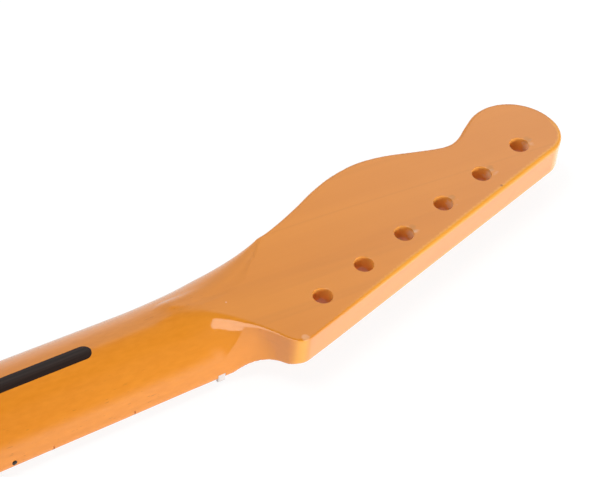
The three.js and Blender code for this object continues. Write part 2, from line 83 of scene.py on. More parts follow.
class Wire:
    # A socket that joins in sums, so that an expression adds its own Math nodes.
    def __init__(self, tree, socket=None):
        self.tree = tree
        self.socket = socket

    # Adds a node: its settings come first, then the values or wires of its sockets.
    def make(self, kind, settings=None, sockets=None, output=0):
        node = self.tree.nodes.new(kind)
        for name, value in (settings or {}).items():
            setattr(node, name, value)
        for name, value in (sockets or {}).items():
            if isinstance(value, Wire):
                self.tree.links.new(value.socket, node.inputs[name])
            else:
                node.inputs[name].default_value = value
        return Wire(self.tree, node.outputs[output] if node.outputs else None)

    # More outputs of this socket's node
    def outputs(self, *names):
        return [Wire(self.tree, self.socket.node.outputs[name]) for name in names]

    # The three numbers of a vector
    def axes(self):
        return self.make("ShaderNodeSeparateXYZ", None, {0: self}).outputs("X", "Y", "Z")

    def calc(self, operation, first, second=0.0):
        return self.make("ShaderNodeMath", {"operation": operation}, {0: first, 1: second})

    def atLeast(self, other):
        return self.calc("MAXIMUM", self, other)

    def __add__(self, other):
        return self.calc("ADD", self, other)

    def __radd__(self, other):
        return self.calc("ADD", other, self)

    def __sub__(self, other):
        return self.calc("SUBTRACT", self, other)

    def __rsub__(self, other):
        return self.calc("SUBTRACT", other, self)

    def __mul__(self, other):
        return self.calc("MULTIPLY", self, other)

    def __rmul__(self, other):
        return self.calc("MULTIPLY", other, self)

    def __truediv__(self, other):
        return self.calc("DIVIDE", self, other)

    def __rtruediv__(self, other):
        return self.calc("DIVIDE", other, self)

    def __pow__(self, other):
        return self.calc("POWER", self, other)

    def __rpow__(self, other):
        return self.calc("POWER", other, self)


# The neck blank's shape

# A pair of numbers is a stretch over which a change comes in, except for firstTuner and gridLow, two places.
blank = {
    "nutToHeel": 462.0, "nutWidth": 41.4, "heelWidth": 56.0, "boardRadius": 241.0, "boardReach": 60.0,
    "depthAtNut": 20.0, "depthAtHeelRamp": 22.6, "sideHeight": 2.2, "backFullness": 1.62,
    "heelDepth": 25.4, "heelLength": 76.0, "heelRampLength": 44.0,
    "heelEdgeRadius": 1.6, "heelCornerRadius": 3.0,
    "headstockLength": 180.9, "headstockBack": 21.05, "headstockFace": 6.95, "hump": 35.9,
    "ledge": 7.0, "scoop": 21.7,
    "firstTuner": (46.2, -17.75), "tunerSpacing": 23.65, "tunerCount": 6,
    "tunerLineAngle": math.radians(15.8), "tunerLineToEdge": 11.35,
    "tipRadius": 20.2, "tipMiddleToEdge": 14.9, "tipStartAngle": math.radians(119.6),
    "tipCornerTurn": math.radians(75), "shoulderFromNut": 26.2, "shoulderCornerRadius": 7.5,
    "coveRadius": 17.0, "throatRadius": 8.5,
    "coveNarrows": (11, 22), "coveEndsAcross": (6, 14), "coveEndsAlong": (20, 32),
    "boardEdgeRadius": 0.5, "edgeRadiusAtLip": 0.7, "edgeRadiusAtTip": 1.3,
    "backEdgeGrows": (30, 140), "faceEdgeGrows": (5, 30),
    "lipWallOut": 0.55, "lipWallHeights": (3, 19), "lipWallEnds": (20, 26),
    "lipSide": (-2, 4), "straightSide": (-4, 4),
    "trebleBlendStart": 24.0, "trebleBlendLength": 64.0, "trebleBlendPower": 2.8,
    "bassRiseStart": 15.0, "trebleRiseStart": 24.0, "riseLength": 20.0, "riseMoves": (-4, 6),
    "topOverShaft": 6.0, "topRises": (20, 60), "shaftEnd": 60.0,
    "cell": 0.7, "shaftStep": 4.0, "heelFine": 5.0, "headFine": -25.0, "gridLow": (-39.7, -0.85),
    "tableCell": 0.5,
}

# The treble edge in shares of the way to the tip's circle and of the hump
trebleEdgeShares = [
    (0.018, 0.577), (0.072, 0.573), (0.138, 0.55), (0.204, 0.531), (0.271, 0.537), (0.335, 0.612),
    (0.41, 0.733), (0.478, 0.857), (0.553, 0.957), (0.635, 1), (0.715, 0.96), (0.802, 0.854),
    (0.853, 0.793), (0.886, 0.769), (0.91, 0.778), (0.936, 0.825), (0.964, 0.905),
]

# The rounding of the back's edge and of the face's edge on the bass side, as (place from the nut, radius)
bassEdgeRadii = [
    (5, 0.7), (10, 1.0), (13, 1.4), (17, 1.0), (20, 0.5), (30, 0.45), (50, 0.8), (80, 1.2), (125, 1.4),
]
bassFaceRadii = [(5, 0.5), (22, 0.7), (27, 1.9), (45, 1.3), (150, 1.1)]

# The lip where the headstock's back ends over the shaft, in shares of the shoulder's place and half the nut
lipShares = [
    (0.79, -1.25), (0.64, -0.98), (0.457, -0.697), (0.322, -0.505), (0.13, -0.29), (-0.09, -0.06),
    (-0.28, 0.2), (-0.1, 0.2), (0.25, 0.17), (0.57, 0.23), (0.95, 0.38), (1.26, 0.56),
]


def smoothLine(points, count):
    # A smooth curve through the points, its steps spread evenly over the spans between them
    points = np.array(points, float)
    padded = np.vstack([points[:1], points, points[-1:]])
    place = np.linspace(0, len(points) - 1, count + 1)
    cell = np.minimum(place.astype(int), len(points) - 2)
    share = (place - cell)[:, None]
    a, b, c, d = (padded[cell + shift] for shift in range(4))
    start, end = (c - a) / 2, (d - b) / 2
    return ((2 * b - 2 * c + start + end) * share ** 3 + (3 * c - 3 * b - 2 * start - end) * share ** 2
            + start * share + b)


def roundedCorner(before, corner, after, radius, steps=10):
    toBefore = (before - corner) / np.linalg.norm(before - corner)
    toAfter = (after - corner) / np.linalg.norm(after - corner)
    halfAngle = math.acos(np.clip(toBefore @ toAfter, -1, 1)) / 2
    bisector = (toBefore + toAfter) / np.linalg.norm(toBefore + toAfter)
    middle = corner + bisector * radius / math.sin(halfAngle)
    start = corner + toBefore * radius / math.tan(halfAngle) - middle
    end = corner + toAfter * radius / math.tan(halfAngle) - middle
    turn = math.atan2(start[0] * end[1] - start[1] * end[0], start @ end)
    angles = math.atan2(start[1], start[0]) + turn * np.linspace(0, 1, steps + 1)
    return middle + radius * np.stack([np.cos(angles), np.sin(angles)], -1)


firstTuner = np.array(blank["firstTuner"])
edgeDirection = np.array([math.cos(blank["tunerLineAngle"]), math.sin(blank["tunerLineAngle"])])
outward = np.array([edgeDirection[1], -edgeDirection[0]])
edgeStart = firstTuner + outward * blank["tunerLineToEdge"]
tunerPlaces = [firstTuner + edgeDirection * blank["tunerSpacing"] * i for i in range(blank["tunerCount"])]


def edgePointAt(x):
    return edgeStart + edgeDirection * (x - edgeStart[0]) / edgeDirection[0]


tipX = blank["headstockLength"] - blank["tipRadius"]
tipMiddle = edgePointAt(tipX + outward[0] * blank["tipMiddleToEdge"]) - outward * blank["tipMiddleToEdge"]


def onTip(angle):
    return tipMiddle + blank["tipRadius"] * np.stack([np.cos(angle), np.sin(angle)], -1)


tipStart = onTip(blank["tipStartAngle"])
trebleEdge = smoothLine(
    [(along * tipStart[0], out * blank["hump"]) for along, out in trebleEdgeShares] + [tipStart], 120)


def smoothstep(x, low, high):
    share = np.clip((x - low) / (high - low), 0, 1)
    return share * share * (3 - 2 * share)


def mix(a, b, share):
    return a + (b - a) * share


# The space inside both a and b, with the edge between them rounded
def roundBoth(a, b, radius):
    inner = np.minimum(np.maximum(a, b), -radius)
    return inner + np.hypot(np.maximum(a + radius, 0), np.maximum(b + radius, 0))


# The space inside a or b, with a hollow fillet between them
def roundEither(a, b, radius):
    outer = np.maximum(np.minimum(a, b), radius)
    return outer - np.hypot(np.maximum(radius - a, 0), np.maximum(radius - b, 0))


def halfWidths(x):
    taper = np.clip(-x / blank["nutToHeel"], 0, 1)
    bass = mix(blank["nutWidth"], blank["heelWidth"], taper) / 2
    treble = np.where(x > trebleEdge[0, 0], np.interp(x, trebleEdge[:, 0], trebleEdge[:, 1]), bass)
    return bass, treble


rampLow = blank["heelLength"] - blank["nutToHeel"]
rampHigh = rampLow + blank["heelRampLength"]


def backHeight(x, y):
    shaft = mix(blank["depthAtNut"], blank["depthAtHeelRamp"], x / rampHigh)
    heel = 1 - smoothstep(x, rampLow, rampHigh)
    start = -mix(blank["bassRiseStart"], blank["trebleRiseStart"], smoothstep(y, *blank["riseMoves"]))
    headstock = smoothstep(x, start, start + blank["riseLength"])
    return mix(mix(shaft, blank["heelDepth"], heel), blank["headstockBack"], headstock)


def boardFace(y):
    reach = blank["boardReach"]
    return blank["boardRadius"] - np.sqrt(blank["boardRadius"] ** 2 - np.clip(y, -reach, reach) ** 2)


# The fretboard's face, the hollow behind the nut and the headstock's face
def faceHeight(x, y):
    rise = blank["headstockFace"] - boardFace(blank["nutWidth"] / 2)
    scoopRadius = (blank["scoop"] ** 2 + rise ** 2) / (2 * rise)
    fromEnd = np.clip(blank["ledge"] + blank["scoop"] - x, 0, blank["scoop"])
    hollow = blank["headstockFace"] - scoopRadius + np.sqrt(scoopRadius ** 2 - fromEnd ** 2)
    flat = np.where(x > blank["ledge"] + blank["scoop"], hollow, np.maximum(hollow, boardFace(y)))
    return np.where(x > blank["ledge"], flat, boardFace(y))


# The round shaft with its heel: across it is a fuller or flatter oval, whose power and foot change on the
# treble side until the back stands square on the headstock's wall
def shaftField(x, y, z):
    bass, treble = halfWidths(x)
    half = np.where(y > 0, treble, bass)
    depth = backHeight(x, y)
    growth = np.clip((x + blank["trebleBlendStart"]) / blank["trebleBlendLength"], 0, 1)
    flat = np.where(y > 0, growth ** blank["trebleBlendPower"], 0)
    edge = blank["edgeRadiusAtLip"]
    power = mix(blank["backFullness"], 2, flat)
    foot, ledge = mix(blank["sideHeight"], depth - edge, flat), (half - edge) * flat
    wide, high = half - ledge, depth - foot
    out = np.maximum(np.abs(y) - ledge, 0) / wide
    up = np.maximum(z - foot, 0) / high
    reach = np.maximum((out ** power + up ** power) ** (1 / power), 1e-4)
    slope = np.hypot(out ** (power - 1) / wide, up ** (power - 1) / high)
    roundBack = (reach - 1) / np.maximum(slope * reach ** (1 - power), 1e-3)
    plan = roundBoth(np.abs(y) - half, -x - blank["nutToHeel"], blank["heelCornerRadius"])
    block = roundBoth(plan, z - depth, blank["heelEdgeRadius"])
    heel = 1 - smoothstep(x, rampLow, rampHigh)
    return np.maximum(mix(roundBack, block, heel), x - blank["shaftEnd"])


def coveRadiusAt(x, y, least=0.01):
    radius = mix(blank["coveRadius"], blank["throatRadius"], smoothstep(-y, *blank["coveNarrows"]))
    across = 1 - smoothstep(y, *blank["coveEndsAcross"])
    return radius * across * (1 - smoothstep(x, *blank["coveEndsAlong"])) + least


def headstockOutline():
    lipPlaces = [(along * blank["shoulderFromNut"], out * blank["nutWidth"] / 2) for along, out in lipShares]
    wall = smoothLine(lipPlaces, 60)
    shoulder = edgePointAt(blank["shoulderFromNut"])
    # A smaller circle inside the tip's turns its edge into the straight one
    tipEnd = blank["tunerLineAngle"] - math.pi / 2
    turnStart, turn = tipEnd + blank["tipCornerTurn"], math.cos(blank["tipCornerTurn"])
    cornerRadius = (blank["tipMiddleToEdge"] - blank["tipRadius"] * turn) / (1 - turn)
    inwards = (cornerRadius - blank["tipRadius"]) * np.array([math.cos(turnStart), math.sin(turnStart)])
    angles = np.linspace(turnStart, tipEnd, 24)[1:, None]
    tipCorner = tipMiddle - inwards + cornerRadius * np.hstack([np.cos(angles), np.sin(angles)])
    blendEnd = blank["trebleBlendLength"] - blank["trebleBlendStart"]
    return np.vstack([
        roundedCorner(edgeStart, shoulder, wall[0], blank["shoulderCornerRadius"]),
        wall,
        trebleEdge[trebleEdge[:, 0] > blendEnd],
        onTip(np.linspace(blank["tipStartAngle"], turnStart, 40)[1:]),
        tipCorner,
    ])


# Distance to the headstock's outline, below zero inside it
def outlineDistance(x, y):
    outline = headstockOutline()
    point = np.stack([x, y], -1)
    nearest = np.full(x.shape, np.inf)
    inside = np.zeros(x.shape, bool)
    for a, b in zip(outline, np.roll(outline, -1, 0)):
        side = b - a
        if side @ side == 0:
            continue
        share = np.clip(((point - a) @ side) / (side @ side), 0, 1)
        gap = point - a - share[..., None] * side
        nearest = np.minimum(nearest, (gap ** 2).sum(-1))
        if a[1] != b[1]:
            crosses = (a[1] > y) != (b[1] > y)
            inside ^= crosses & (x < side[0] * (y - a[1]) / side[1] + a[0])
    return np.sqrt(nearest) * np.where(inside, -1, 1)


tableLow = np.array([-46.0, -46.0])
tableHigh = np.array([blank["headstockLength"] + 10, 52.0])
tableSize = ((tableHigh - tableLow) / blank["tableCell"]).astype(int)
tableLines = [low + blank["tableCell"] * np.arange(size + 1) for low, size in zip(tableLow, tableSize)]
wallTable = outlineDistance(*np.meshgrid(*tableLines, indexing="ij"))
farAway = 100.0  # the outline's distance along the shaft, where the table ends


# The outline's distance looked up between the table's points with a smooth curve
def wallDistance(x, y):
    place = (np.stack([x, y], -1) - tableLow) / blank["tableCell"]
    cell = np.clip(np.floor(place).astype(int), 1, tableSize - 2)
    t = np.clip(place - cell, 0, 1)
    weights = [(-t + 2 * t ** 2 - t ** 3) / 2, (2 - 5 * t ** 2 + 3 * t ** 3) / 2,
               (t + 4 * t ** 2 - 3 * t ** 3) / 2, (t ** 3 - t ** 2) / 2]
    found = 0
    for i in range(4):
        for j in range(4):
            value = wallTable[cell[..., 0] + i - 1, cell[..., 1] + j - 1]
            found = found + weights[i][..., 0] * weights[j][..., 1] * value
    return found


# 1 on the lip and the straight edge, 0 on the treble side
def onBassSide(x, y):
    beyond = (x - firstTuner[0]) * outward[0] + (y - firstTuner[1]) * outward[1]
    besideLip = smoothstep(-y, *blank["lipSide"])
    return np.where(x < blank["shoulderFromNut"], besideLip, smoothstep(beyond, *blank["straightSide"]))


# Below zero inside the uncut wood and above zero outside, in millimetres
def blankField(points):
    x, y, z = points.T
    wall = np.where(x > tableLow[0] + 2, wallDistance(np.maximum(x, tableLow[0] + 1), y), farAway)
    lip, bassSide = blank["edgeRadiusAtLip"], onBassSide(x, y)
    edge = mix(lip, blank["edgeRadiusAtTip"], smoothstep(x, *blank["backEdgeGrows"]))
    edge = mix(edge, np.interp(x, *zip(*bassEdgeRadii)), bassSide)
    # Where the lip's edge is rounder the wall stands out, which keeps the lip's line in its place
    fuller = np.maximum(edge - lip, 0) * (1 - smoothstep(x, *blank["lipWallEnds"]))
    wall = wall - blank["lipWallOut"] * fuller * smoothstep(z, *blank["lipWallHeights"])
    # The cove has to reach the headstock's back at the lip, so its wall stands in from there
    radius = coveRadiusAt(x, y)
    step = np.clip(shaftField(x, y, np.full(x.shape, blank["headstockBack"])), 0, radius)
    inset = radius - np.sqrt(radius ** 2 - (radius - step) ** 2)
    wood = roundEither(shaftField(x, y, z), wall + inset, radius)
    top = blank["headstockBack"] + blank["topOverShaft"] * smoothstep(-x, *blank["topRises"])
    wood = roundBoth(wood, z - top, edge)
    under = mix(blank["boardEdgeRadius"], lip, smoothstep(x, *blank["faceEdgeGrows"]))
    under = mix(under, np.interp(x, *zip(*bassFaceRadii)), bassSide)
    return roundBoth(wood, faceHeight(x, y) - z, under)


def fieldSlope(field, points, step=0.02):
    columns = [field(points + shift) - field(points - shift) for shift in np.eye(3) * step]
    slope = np.stack(columns, -1)
    return slope / np.maximum(np.linalg.norm(slope, axis=1), 1e-9)[:, None]


# Puts one point in every cell of a grid that the surface passes through, where it fits the surface's planes
# best, and one face round every grid edge that the surface cuts.
def wrapSurface(field, lines, pull=0.03):
    grid = np.stack(np.meshgrid(*lines, indexing="ij"), -1)
    shape = grid.shape[:3]
    value = field(grid.reshape(-1, 3)).reshape(shape)
    strides = np.array([shape[1] * shape[2], shape[2], 1])
    units = np.eye(3, dtype=int)
    cells, normals, points, faces = [], [], [], []
    for axis in range(3):
        step, second, third = units[axis], units[(axis + 1) % 3], units[(axis + 2) % 3]
        low = value[tuple(slice(0, size - s) for size, s in zip(shape, step))]
        high = value[tuple(slice(s, None) for s in step)]
        cut = np.argwhere((low < 0) != (high < 0))
        ends = [grid[tuple((cut + s).T)] for s in (0 * step, step)]
        values = [value[tuple((cut + s).T)] for s in (0 * step, step)]
        for _ in range(2):
            share = values[0] / (values[0] - values[1])
            place = mix(ends[0], ends[1], np.clip(share, 0.02, 0.98)[:, None])
            found = field(place)
            first = (found < 0) == (values[0] < 0)
            ends = [np.where(first[:, None], place, ends[0]), np.where(first[:, None], ends[1], place)]
            values = [np.where(first, found, values[0]), np.where(first, values[1], found)]
        share = values[0] / np.where(values[0] == values[1], 1, values[0] - values[1])
        place = mix(ends[0], ends[1], np.clip(share, 0, 1)[:, None])
        normal = fieldSlope(field, place)
        around = [(cut + back) @ strides for back in (-second - third, -third, 0 * step, -second)]
        cells += around
        normals += [normal] * 4
        points += [place] * 4
        quad = np.stack(around, -1)
        faces.append(np.where((value[tuple(cut.T)] < 0)[:, None], quad, quad[:, ::-1]))
    cells, normals, points, faces = (np.concatenate(part) for part in (cells, normals, points, faces))
    used, index = np.unique(cells, return_inverse=True)
    count = np.bincount(index).astype(float)
    middle = np.stack([np.bincount(index, points[:, k]) for k in range(3)], -1) / count[:, None]
    reach = ((points - middle[index]) * normals).sum(-1)
    right = np.stack([np.bincount(index, normals[:, k] * reach) for k in range(3)], -1)
    square = np.stack([np.stack([np.bincount(index, normals[:, j] * normals[:, k]) for j in range(3)], -1)
                       for k in range(3)], -1) + np.eye(3) * pull
    shift = np.linalg.solve(square, right[..., None])[..., 0]
    flat = grid.reshape(-1, 3)
    vertices = np.clip(middle + shift, flat[used], flat[used + strides.sum()])
    return vertices, np.searchsorted(used, faces)


# Meshes

def linked(name, data):
    made = bpy.data.objects.new(name, data)
    bpy.context.scene.collection.objects.link(made)
    return made


def meshObject(name, vertices, faces):
    mesh = bpy.data.meshes.new(name)
    mesh.from_pydata([tuple(v) for v in vertices], [], [tuple(int(i) for i in f) for f in faces])
    mesh.validate()
    piece = linked(name, mesh)
    mesh.polygons.foreach_set("use_smooth", [True] * len(mesh.polygons))
    return piece


# One value of every vertex, face or corner
def readAll(items, name, width=3, kind=float):
    values = np.empty(len(items) * width, kind)
    items.foreach_get(name, values)
    return values.reshape(-1, width) if width > 1 else values


def joinShapes(shapes):
    vertices, faces, start = [], [], 0
    for points, sides in shapes:
        vertices.append(np.array(points, float))
        faces += [[i + start for i in side] for side in sides]
        start += len(points)
    return np.vstack(vertices), faces


def box(low, high):
    corners = [(x, y, z) for x in (low[0], high[0]) for y in (low[1], high[1]) for z in (low[2], high[2])]
    return corners, [(0, 1, 3, 2), (4, 6, 7, 5), (0, 4, 5, 1), (2, 3, 7, 6), (0, 2, 6, 4), (1, 5, 7, 3)]


# Joins equal rings of points one after the other and closes both ends.
def loft(rings):
    count = len(rings[0])
    last = (len(rings) - 1) * count
    faces = []
    for start in range(0, last, count):
        for i in range(count):
            a, b = start + i, start + (i + 1) % count
            faces.append((a, b, b + count, a + count))
    faces += [tuple(reversed(range(count))), tuple(range(last, last + count))]
    return np.vstack(rings), faces


# Turns a profile of (radius, height) round an axis whose height counts along it.
def turned(profile, middle, axis=2, sides=48):
    angles = np.arange(sides) * 2 * math.pi / sides
    rings = []
    for radius, height in profile:
        ring = np.zeros((sides, 3))
        ring[:, (axis + 1) % 3] = radius * np.cos(angles)
        ring[:, (axis + 2) % 3] = radius * np.sin(angles)
        ring[:, axis] = height
        rings.append(ring + np.array(middle))
    return loft(rings)


# Puts what a piece's modifiers build in place of its mesh.
def applyModifiers(piece):
    graph = bpy.context.evaluated_depsgraph_get()
    mesh = bpy.data.meshes.new_from_object(piece.evaluated_get(graph))
    piece.modifiers.clear()
    old = piece.data
    piece.data = mesh
    bpy.data.meshes.remove(old)


def cutAway(piece, shapes):
    vertices, faces = joinShapes(shapes)
    cutter = meshObject("cutter", toFrame(vertices), faces)
    cut = piece.modifiers.new("cut", "BOOLEAN")
    cut.operation = "DIFFERENCE"
    cut.solver = "MANIFOLD"
    cut.object = cutter
    applyModifiers(piece)
    cutterMesh = cutter.data
    bpy.data.objects.remove(cutter)
    bpy.data.meshes.remove(cutterMesh)


# Gives the corners on the wrapped surface its true direction, and leaves the cut walls to their own.
def polishNormals(piece, field, sharpAngle=0.6, alike=0.75, reach=0.2):
    mesh = piece.data
    mesh.set_sharp_from_angle(angle=sharpAngle)
    middles, sides = toNut(readAll(mesh.polygons, "center")), readAll(mesh.polygons, "normal")
    slope = fieldSlope(field, middles)
    outside = ((slope * sides).sum(-1) > alike) & (np.abs(field(middles)) < reach)
    corners = readAll(mesh.loops, "vertex_index", 1, int)
    totals = readAll(mesh.polygons, "loop_total", 1, int)
    polished = fieldSlope(field, toNut(readAll(mesh.vertices, "co")))[corners]
    polished[~np.repeat(outside, totals)] = 0
    mesh.normals_split_custom_set([tuple(normal) for normal in polished])


# Painted light: the headstock's colour is brighter fully on the shoulder's upright corner, and in a strip
# along the rounded straight edge, where light falls. Bare wood is only in the tuner bores, and its colour
# there is made lighter as painted light on their walls.
paintedLight = {
    "step": 0.9, "roundFrom": (0.03, 0.1), "upright": (0.3, 0.7),
    "cornerStarts": (24, 26.5), "cornerEnds": (28, 31), "strip": 0.85, "stripStarts": (30, 90),
    "boreReach": 0.2,
}


def markPaintedLight(piece, field):
    mesh = piece.data
    points = toNut(readAll(mesh.vertices, "co"))
    x, y, z = points.T
    shifts = np.vstack([np.eye(3), -np.eye(3)]) * paintedLight["step"]
    bend = (sum(field(points + shift) for shift in shifts) - 6 * field(points)) / paintedLight["step"] ** 2
    upright = 1 - smoothstep(np.abs(fieldSlope(field, points)[:, 2]), *paintedLight["upright"])
    corner = upright * smoothstep(x, *paintedLight["cornerStarts"]) * (1 - smoothstep(x, *paintedLight["cornerEnds"]))
    paintedLightShare = np.maximum(corner, paintedLight["strip"] * smoothstep(x, *paintedLight["stripStarts"]))
    away = np.min([np.hypot(*(points[:, :2] - place).T) for place in tunerPlaces], axis=0)
    reach = paintedLight["boreReach"]
    # The bores are bare wood, and their colour is also made lighter as painted light on their walls
    bareLitBores = (away < cuts["tunerRadius"] + reach) & (z < blank["headstockBack"] - reach)
    # The edge mark is painted light: a brighter colour where light falls on the rounded corner and edge
    paintedEdgeLight = smoothstep(bend, *paintedLight["roundFrom"]) * paintedLightShare * onBassSide(x, y)
    for name, values in (("edge", paintedEdgeLight), ("bareLitWood", bareLitBores.astype(float))):
        mesh.attributes.new(name, "FLOAT", "POINT").data.foreach_set("value", values)


def gridLine(*parts):
    return np.unique(np.round(np.concatenate([np.arange(*part) for part in parts]), 4))


# The grid is fine at both ends and coarser on the plain shaft between.
def blankSurface():
    cell, step, heelEnd = blank["cell"], blank["shaftStep"], -blank["nutToHeel"]
    heelFine, headFine = heelEnd + blank["heelFine"], blank["headFine"]
    along = gridLine((heelEnd - cell / 2, heelFine, cell), (heelFine + 1, rampLow - 3, step),
                     (rampLow - 2, rampHigh + 4, step / 2), (rampHigh + 6, headFine - 3, step),
                     (headFine, blank["headstockLength"] + 2 * cell, cell))
    across = np.arange(blank["gridLow"][0], blank["hump"] + 4, cell)
    up = np.arange(blank["gridLow"][1], blank["heelDepth"] + 1, cell)
    return wrapSurface(blankField, [along, across, up])


# Cuts in the blank

cuts = {
    "tunerRadius": 3.9, "rimRadius": 0.35, "pilotRadius": 1.6, "pilotDepth": 16.0, "pilotSink": 0.5,
    "pilotPoint": (0.02, 1.0), "pilotAlong": 50.8, "pilotAcross": 38.1, "pilotFromEnd": 38.1,
    "nutThickness": 3.2, "nutSeat": 2.7, "nutRoom": 0.03, "fretCount": 21, "scaleLength": 647.7,
    "slotWidth": 0.7, "tangDepth": 1.9, "tangRoom": 0.1,
    "dotFrets": [3, 5, 7, 9, 12, 15, 17, 19, 21], "faceDotRadius": 3.175, "faceDotDepth": 2.2,
    "faceDotRoom": 0.04, "sideDotRadius": 1.0, "sideDotDepth": 3.0, "sideDotRoom": 0.03,
    "sideDotAboveEdge": 2.0, "octaveSpacing": 24.0, "octaveSideSpacing": 7.0,
    # How far the cutting shapes reach outside the wood
    "overrun": 3.0, "endOverrun": 4.0, "beside": 40.0, "below": -6.0, "above": 30.0,
}


def fretPlace(fret):
    return cuts["scaleLength"] / 2 ** (fret / 12) - cuts["scaleLength"]


def dotPlace(fret):
    return (fretPlace(fret - 1) + fretPlace(fret)) / 2


def dotPlaces():
    faceDots, sideDots = [], []
    for fret in cuts["dotFrets"]:
        for side in ((-1, 1) if fret == 12 else (0,)):
            faceDots.append((dotPlace(fret), side * cuts["octaveSpacing"] / 2))
            sideDots.append(dotPlace(fret) + side * cuts["octaveSideSpacing"] / 2)
    return faceDots, sideDots


faceDotPlaces, sideDotPlaces = dotPlaces()


def rimmedHole(radius, middle, low, high, rim):
    turn = np.linspace(0, math.pi / 2, 5)
    lower = [(radius + rim - rim * math.sin(a), low + rim - rim * math.cos(a)) for a in turn]
    upper = [(radius + rim - rim * math.cos(a), high - rim + rim * math.sin(a)) for a in turn]
    ends = [(radius + rim, low - cuts["overrun"]), (radius + rim, high + cuts["overrun"])]
    return turned(ends[:1] + lower + upper + ends[1:], (*middle, 0))


def pilotHole(x, y):
    top, radius = blank["heelDepth"], cuts["pilotRadius"]
    floor, sunk = top - cuts["pilotDepth"], radius + cuts["pilotSink"]
    pointRadius, pointDepth = cuts["pilotPoint"]
    profile = [(pointRadius, floor - pointDepth), (radius, floor), (radius, top - cuts["pilotSink"]),
               (sunk, top), (sunk, top + cuts["overrun"])]
    return turned(profile, (x, y, 0), sides=32)


def sideDotHeight(x):
    return boardFace(halfWidths(x)[0]) + cuts["sideDotAboveEdge"]


def blankCuts():
    beside, below = cuts["beside"], cuts["below"]
    shapes = [rimmedHole(cuts["tunerRadius"], place, blank["headstockFace"], blank["headstockBack"],
                         cuts["rimRadius"]) for place in tunerPlaces]
    screwX = cuts["pilotFromEnd"] - blank["nutToHeel"]
    for along in (-1, 1):
        for across in (-1, 1):
            x, y = screwX + along * cuts["pilotAlong"] / 2, across * cuts["pilotAcross"] / 2
            shapes.append(pilotHole(x, y))
    room = cuts["nutRoom"]
    shapes.append(box((-room, -beside, below), (cuts["nutThickness"] + room, beside, cuts["nutSeat"])))
    for fret in range(1, cuts["fretCount"] + 1):
        x, half = fretPlace(fret), cuts["slotWidth"] / 2
        floor = float(boardFace(halfWidths(x)[0])) + cuts["tangDepth"] + cuts["tangRoom"]
        shapes.append(box((x - half, -beside, below), (x + half, beside, floor)))
    radius = cuts["faceDotRadius"] + cuts["faceDotRoom"]
    for x, y in faceDotPlaces:
        shapes.append(turned([(radius, below), (radius, cuts["faceDotDepth"])], (x, y, 0), sides=40))
    radius = cuts["sideDotRadius"] + cuts["sideDotRoom"]
    for x in sideDotPlaces:
        half = float(halfWidths(x)[0])
        profile = [(radius, -half - cuts["endOverrun"]), (radius, cuts["sideDotDepth"] - half)]
        shapes.append(turned(profile, (x, 0, sideDotHeight(x)), axis=1, sides=24))
    return shapes


# The truss rod's channel with its stripe, and the bores at both ends

rodWork = {
    "stripeWidth": 6.35, "stripeStart": 43.9, "stripeEndFromHeel": 57.0, "stripeOverRod": 0.4,
    "glueLine": 0.06, "room": 0.3,
    "rodRadius": 2.38, "rodNutEnd": 8.4, "rodHeelEnd": 10.0, "rodBow": 3.5, "rodBoreEnds": (10.0, 3.0),
    "anchorRadius": 3.4, "anchorFromNut": 18.0, "anchorLength": 8.0, "plugEnd": 34.0, "plugRoom": 0.05,
    "nutRadius": 4.6, "nutLength": 14.0, "nutRecess": 1.0, "washer": 1.5, "boreChamfer": 0.4,
    "nutFrontEdge": 0.5, "nutBackEdge": 0.3, "crossWidth": 1.8, "crossDepth": 3.0, "crossEdge": 0.15,
}
stripeX = (rodWork["stripeEndFromHeel"] - blank["nutToHeel"], -rodWork["stripeStart"])
anchorEnd = rodWork["anchorLength"] - rodWork["anchorFromNut"]


def rodHeight(x):
    start = anchorEnd - rodWork["room"]
    end = rodWork["nutRecess"] + rodWork["crossDepth"] + rodWork["room"] - blank["nutToHeel"]
    share = np.clip((x - start) / (end - start), 0, 1)
    bow = rodWork["rodBow"] * np.sin(math.pi * share) ** 2
    return mix(rodWork["rodNutEnd"], rodWork["rodHeelEnd"], smoothstep(share, 0, 1)) + bow


def stripeField(points):
    x, y, z = points.T
    (start, end), radius = stripeX, rodWork["stripeWidth"] / 2
    straight = np.abs(x - (start + end) / 2) - (end - start) / 2 + radius
    plan = np.hypot(np.maximum(straight, 0), y) - radius
    floor = rodHeight(x) + rodWork["rodRadius"] + rodWork["stripeOverRod"]
    return np.maximum(np.maximum(blankField(points), plan), floor - z)


# A long shape with round ends, whose floor follows the rod and is closed by strips across it
def slotShape(width, count=24, turns=24):
    middle = np.linspace(stripeX[0] + width / 2, stripeX[1] - width / 2, count)
    arc = np.linspace(-math.pi / 2, math.pi / 2, turns + 1)
    turn = np.stack([np.cos(arc), np.sin(arc)], -1) * width / 2
    low = np.stack([middle[1:-1], np.full(count - 2, -width / 2)], -1)
    ring = np.vstack([low, [middle[-1], 0] + turn, low[::-1] * [1, -1], [middle[0], 0] - turn])
    levels = [rodHeight(ring[:, 0]), np.full(len(ring), cuts["above"])]
    points, faces = loft([np.column_stack([ring, level]) for level in levels])
    straight, total = count - 2, len(ring)
    last = 2 * straight + turns
    strips = [(i, last - i, last - i - 1, i + 1) for i in range(straight - 1)]
    strips.append(tuple(reversed(range(straight - 1, straight + turns + 2))))
    strips.append((0, *reversed(range(last, total))))
    top = [tuple(i + total for i in reversed(strip)) for strip in strips]
    return points, faces[:-2] + strips + top


def heelBore():
    radius, end = rodWork["nutRadius"] + rodWork["room"], -blank["nutToHeel"]
    chamfer = rodWork["boreChamfer"]
    depth = rodWork["nutRecess"] + rodWork["nutLength"] + rodWork["washer"] + 2 * rodWork["room"]
    profile = [(radius + chamfer, end - cuts["endOverrun"]), (radius + chamfer, end),
               (radius, end + chamfer), (radius, end + depth)]
    return turned(profile, (0, 0, rodWork["rodHeelEnd"]), axis=0)


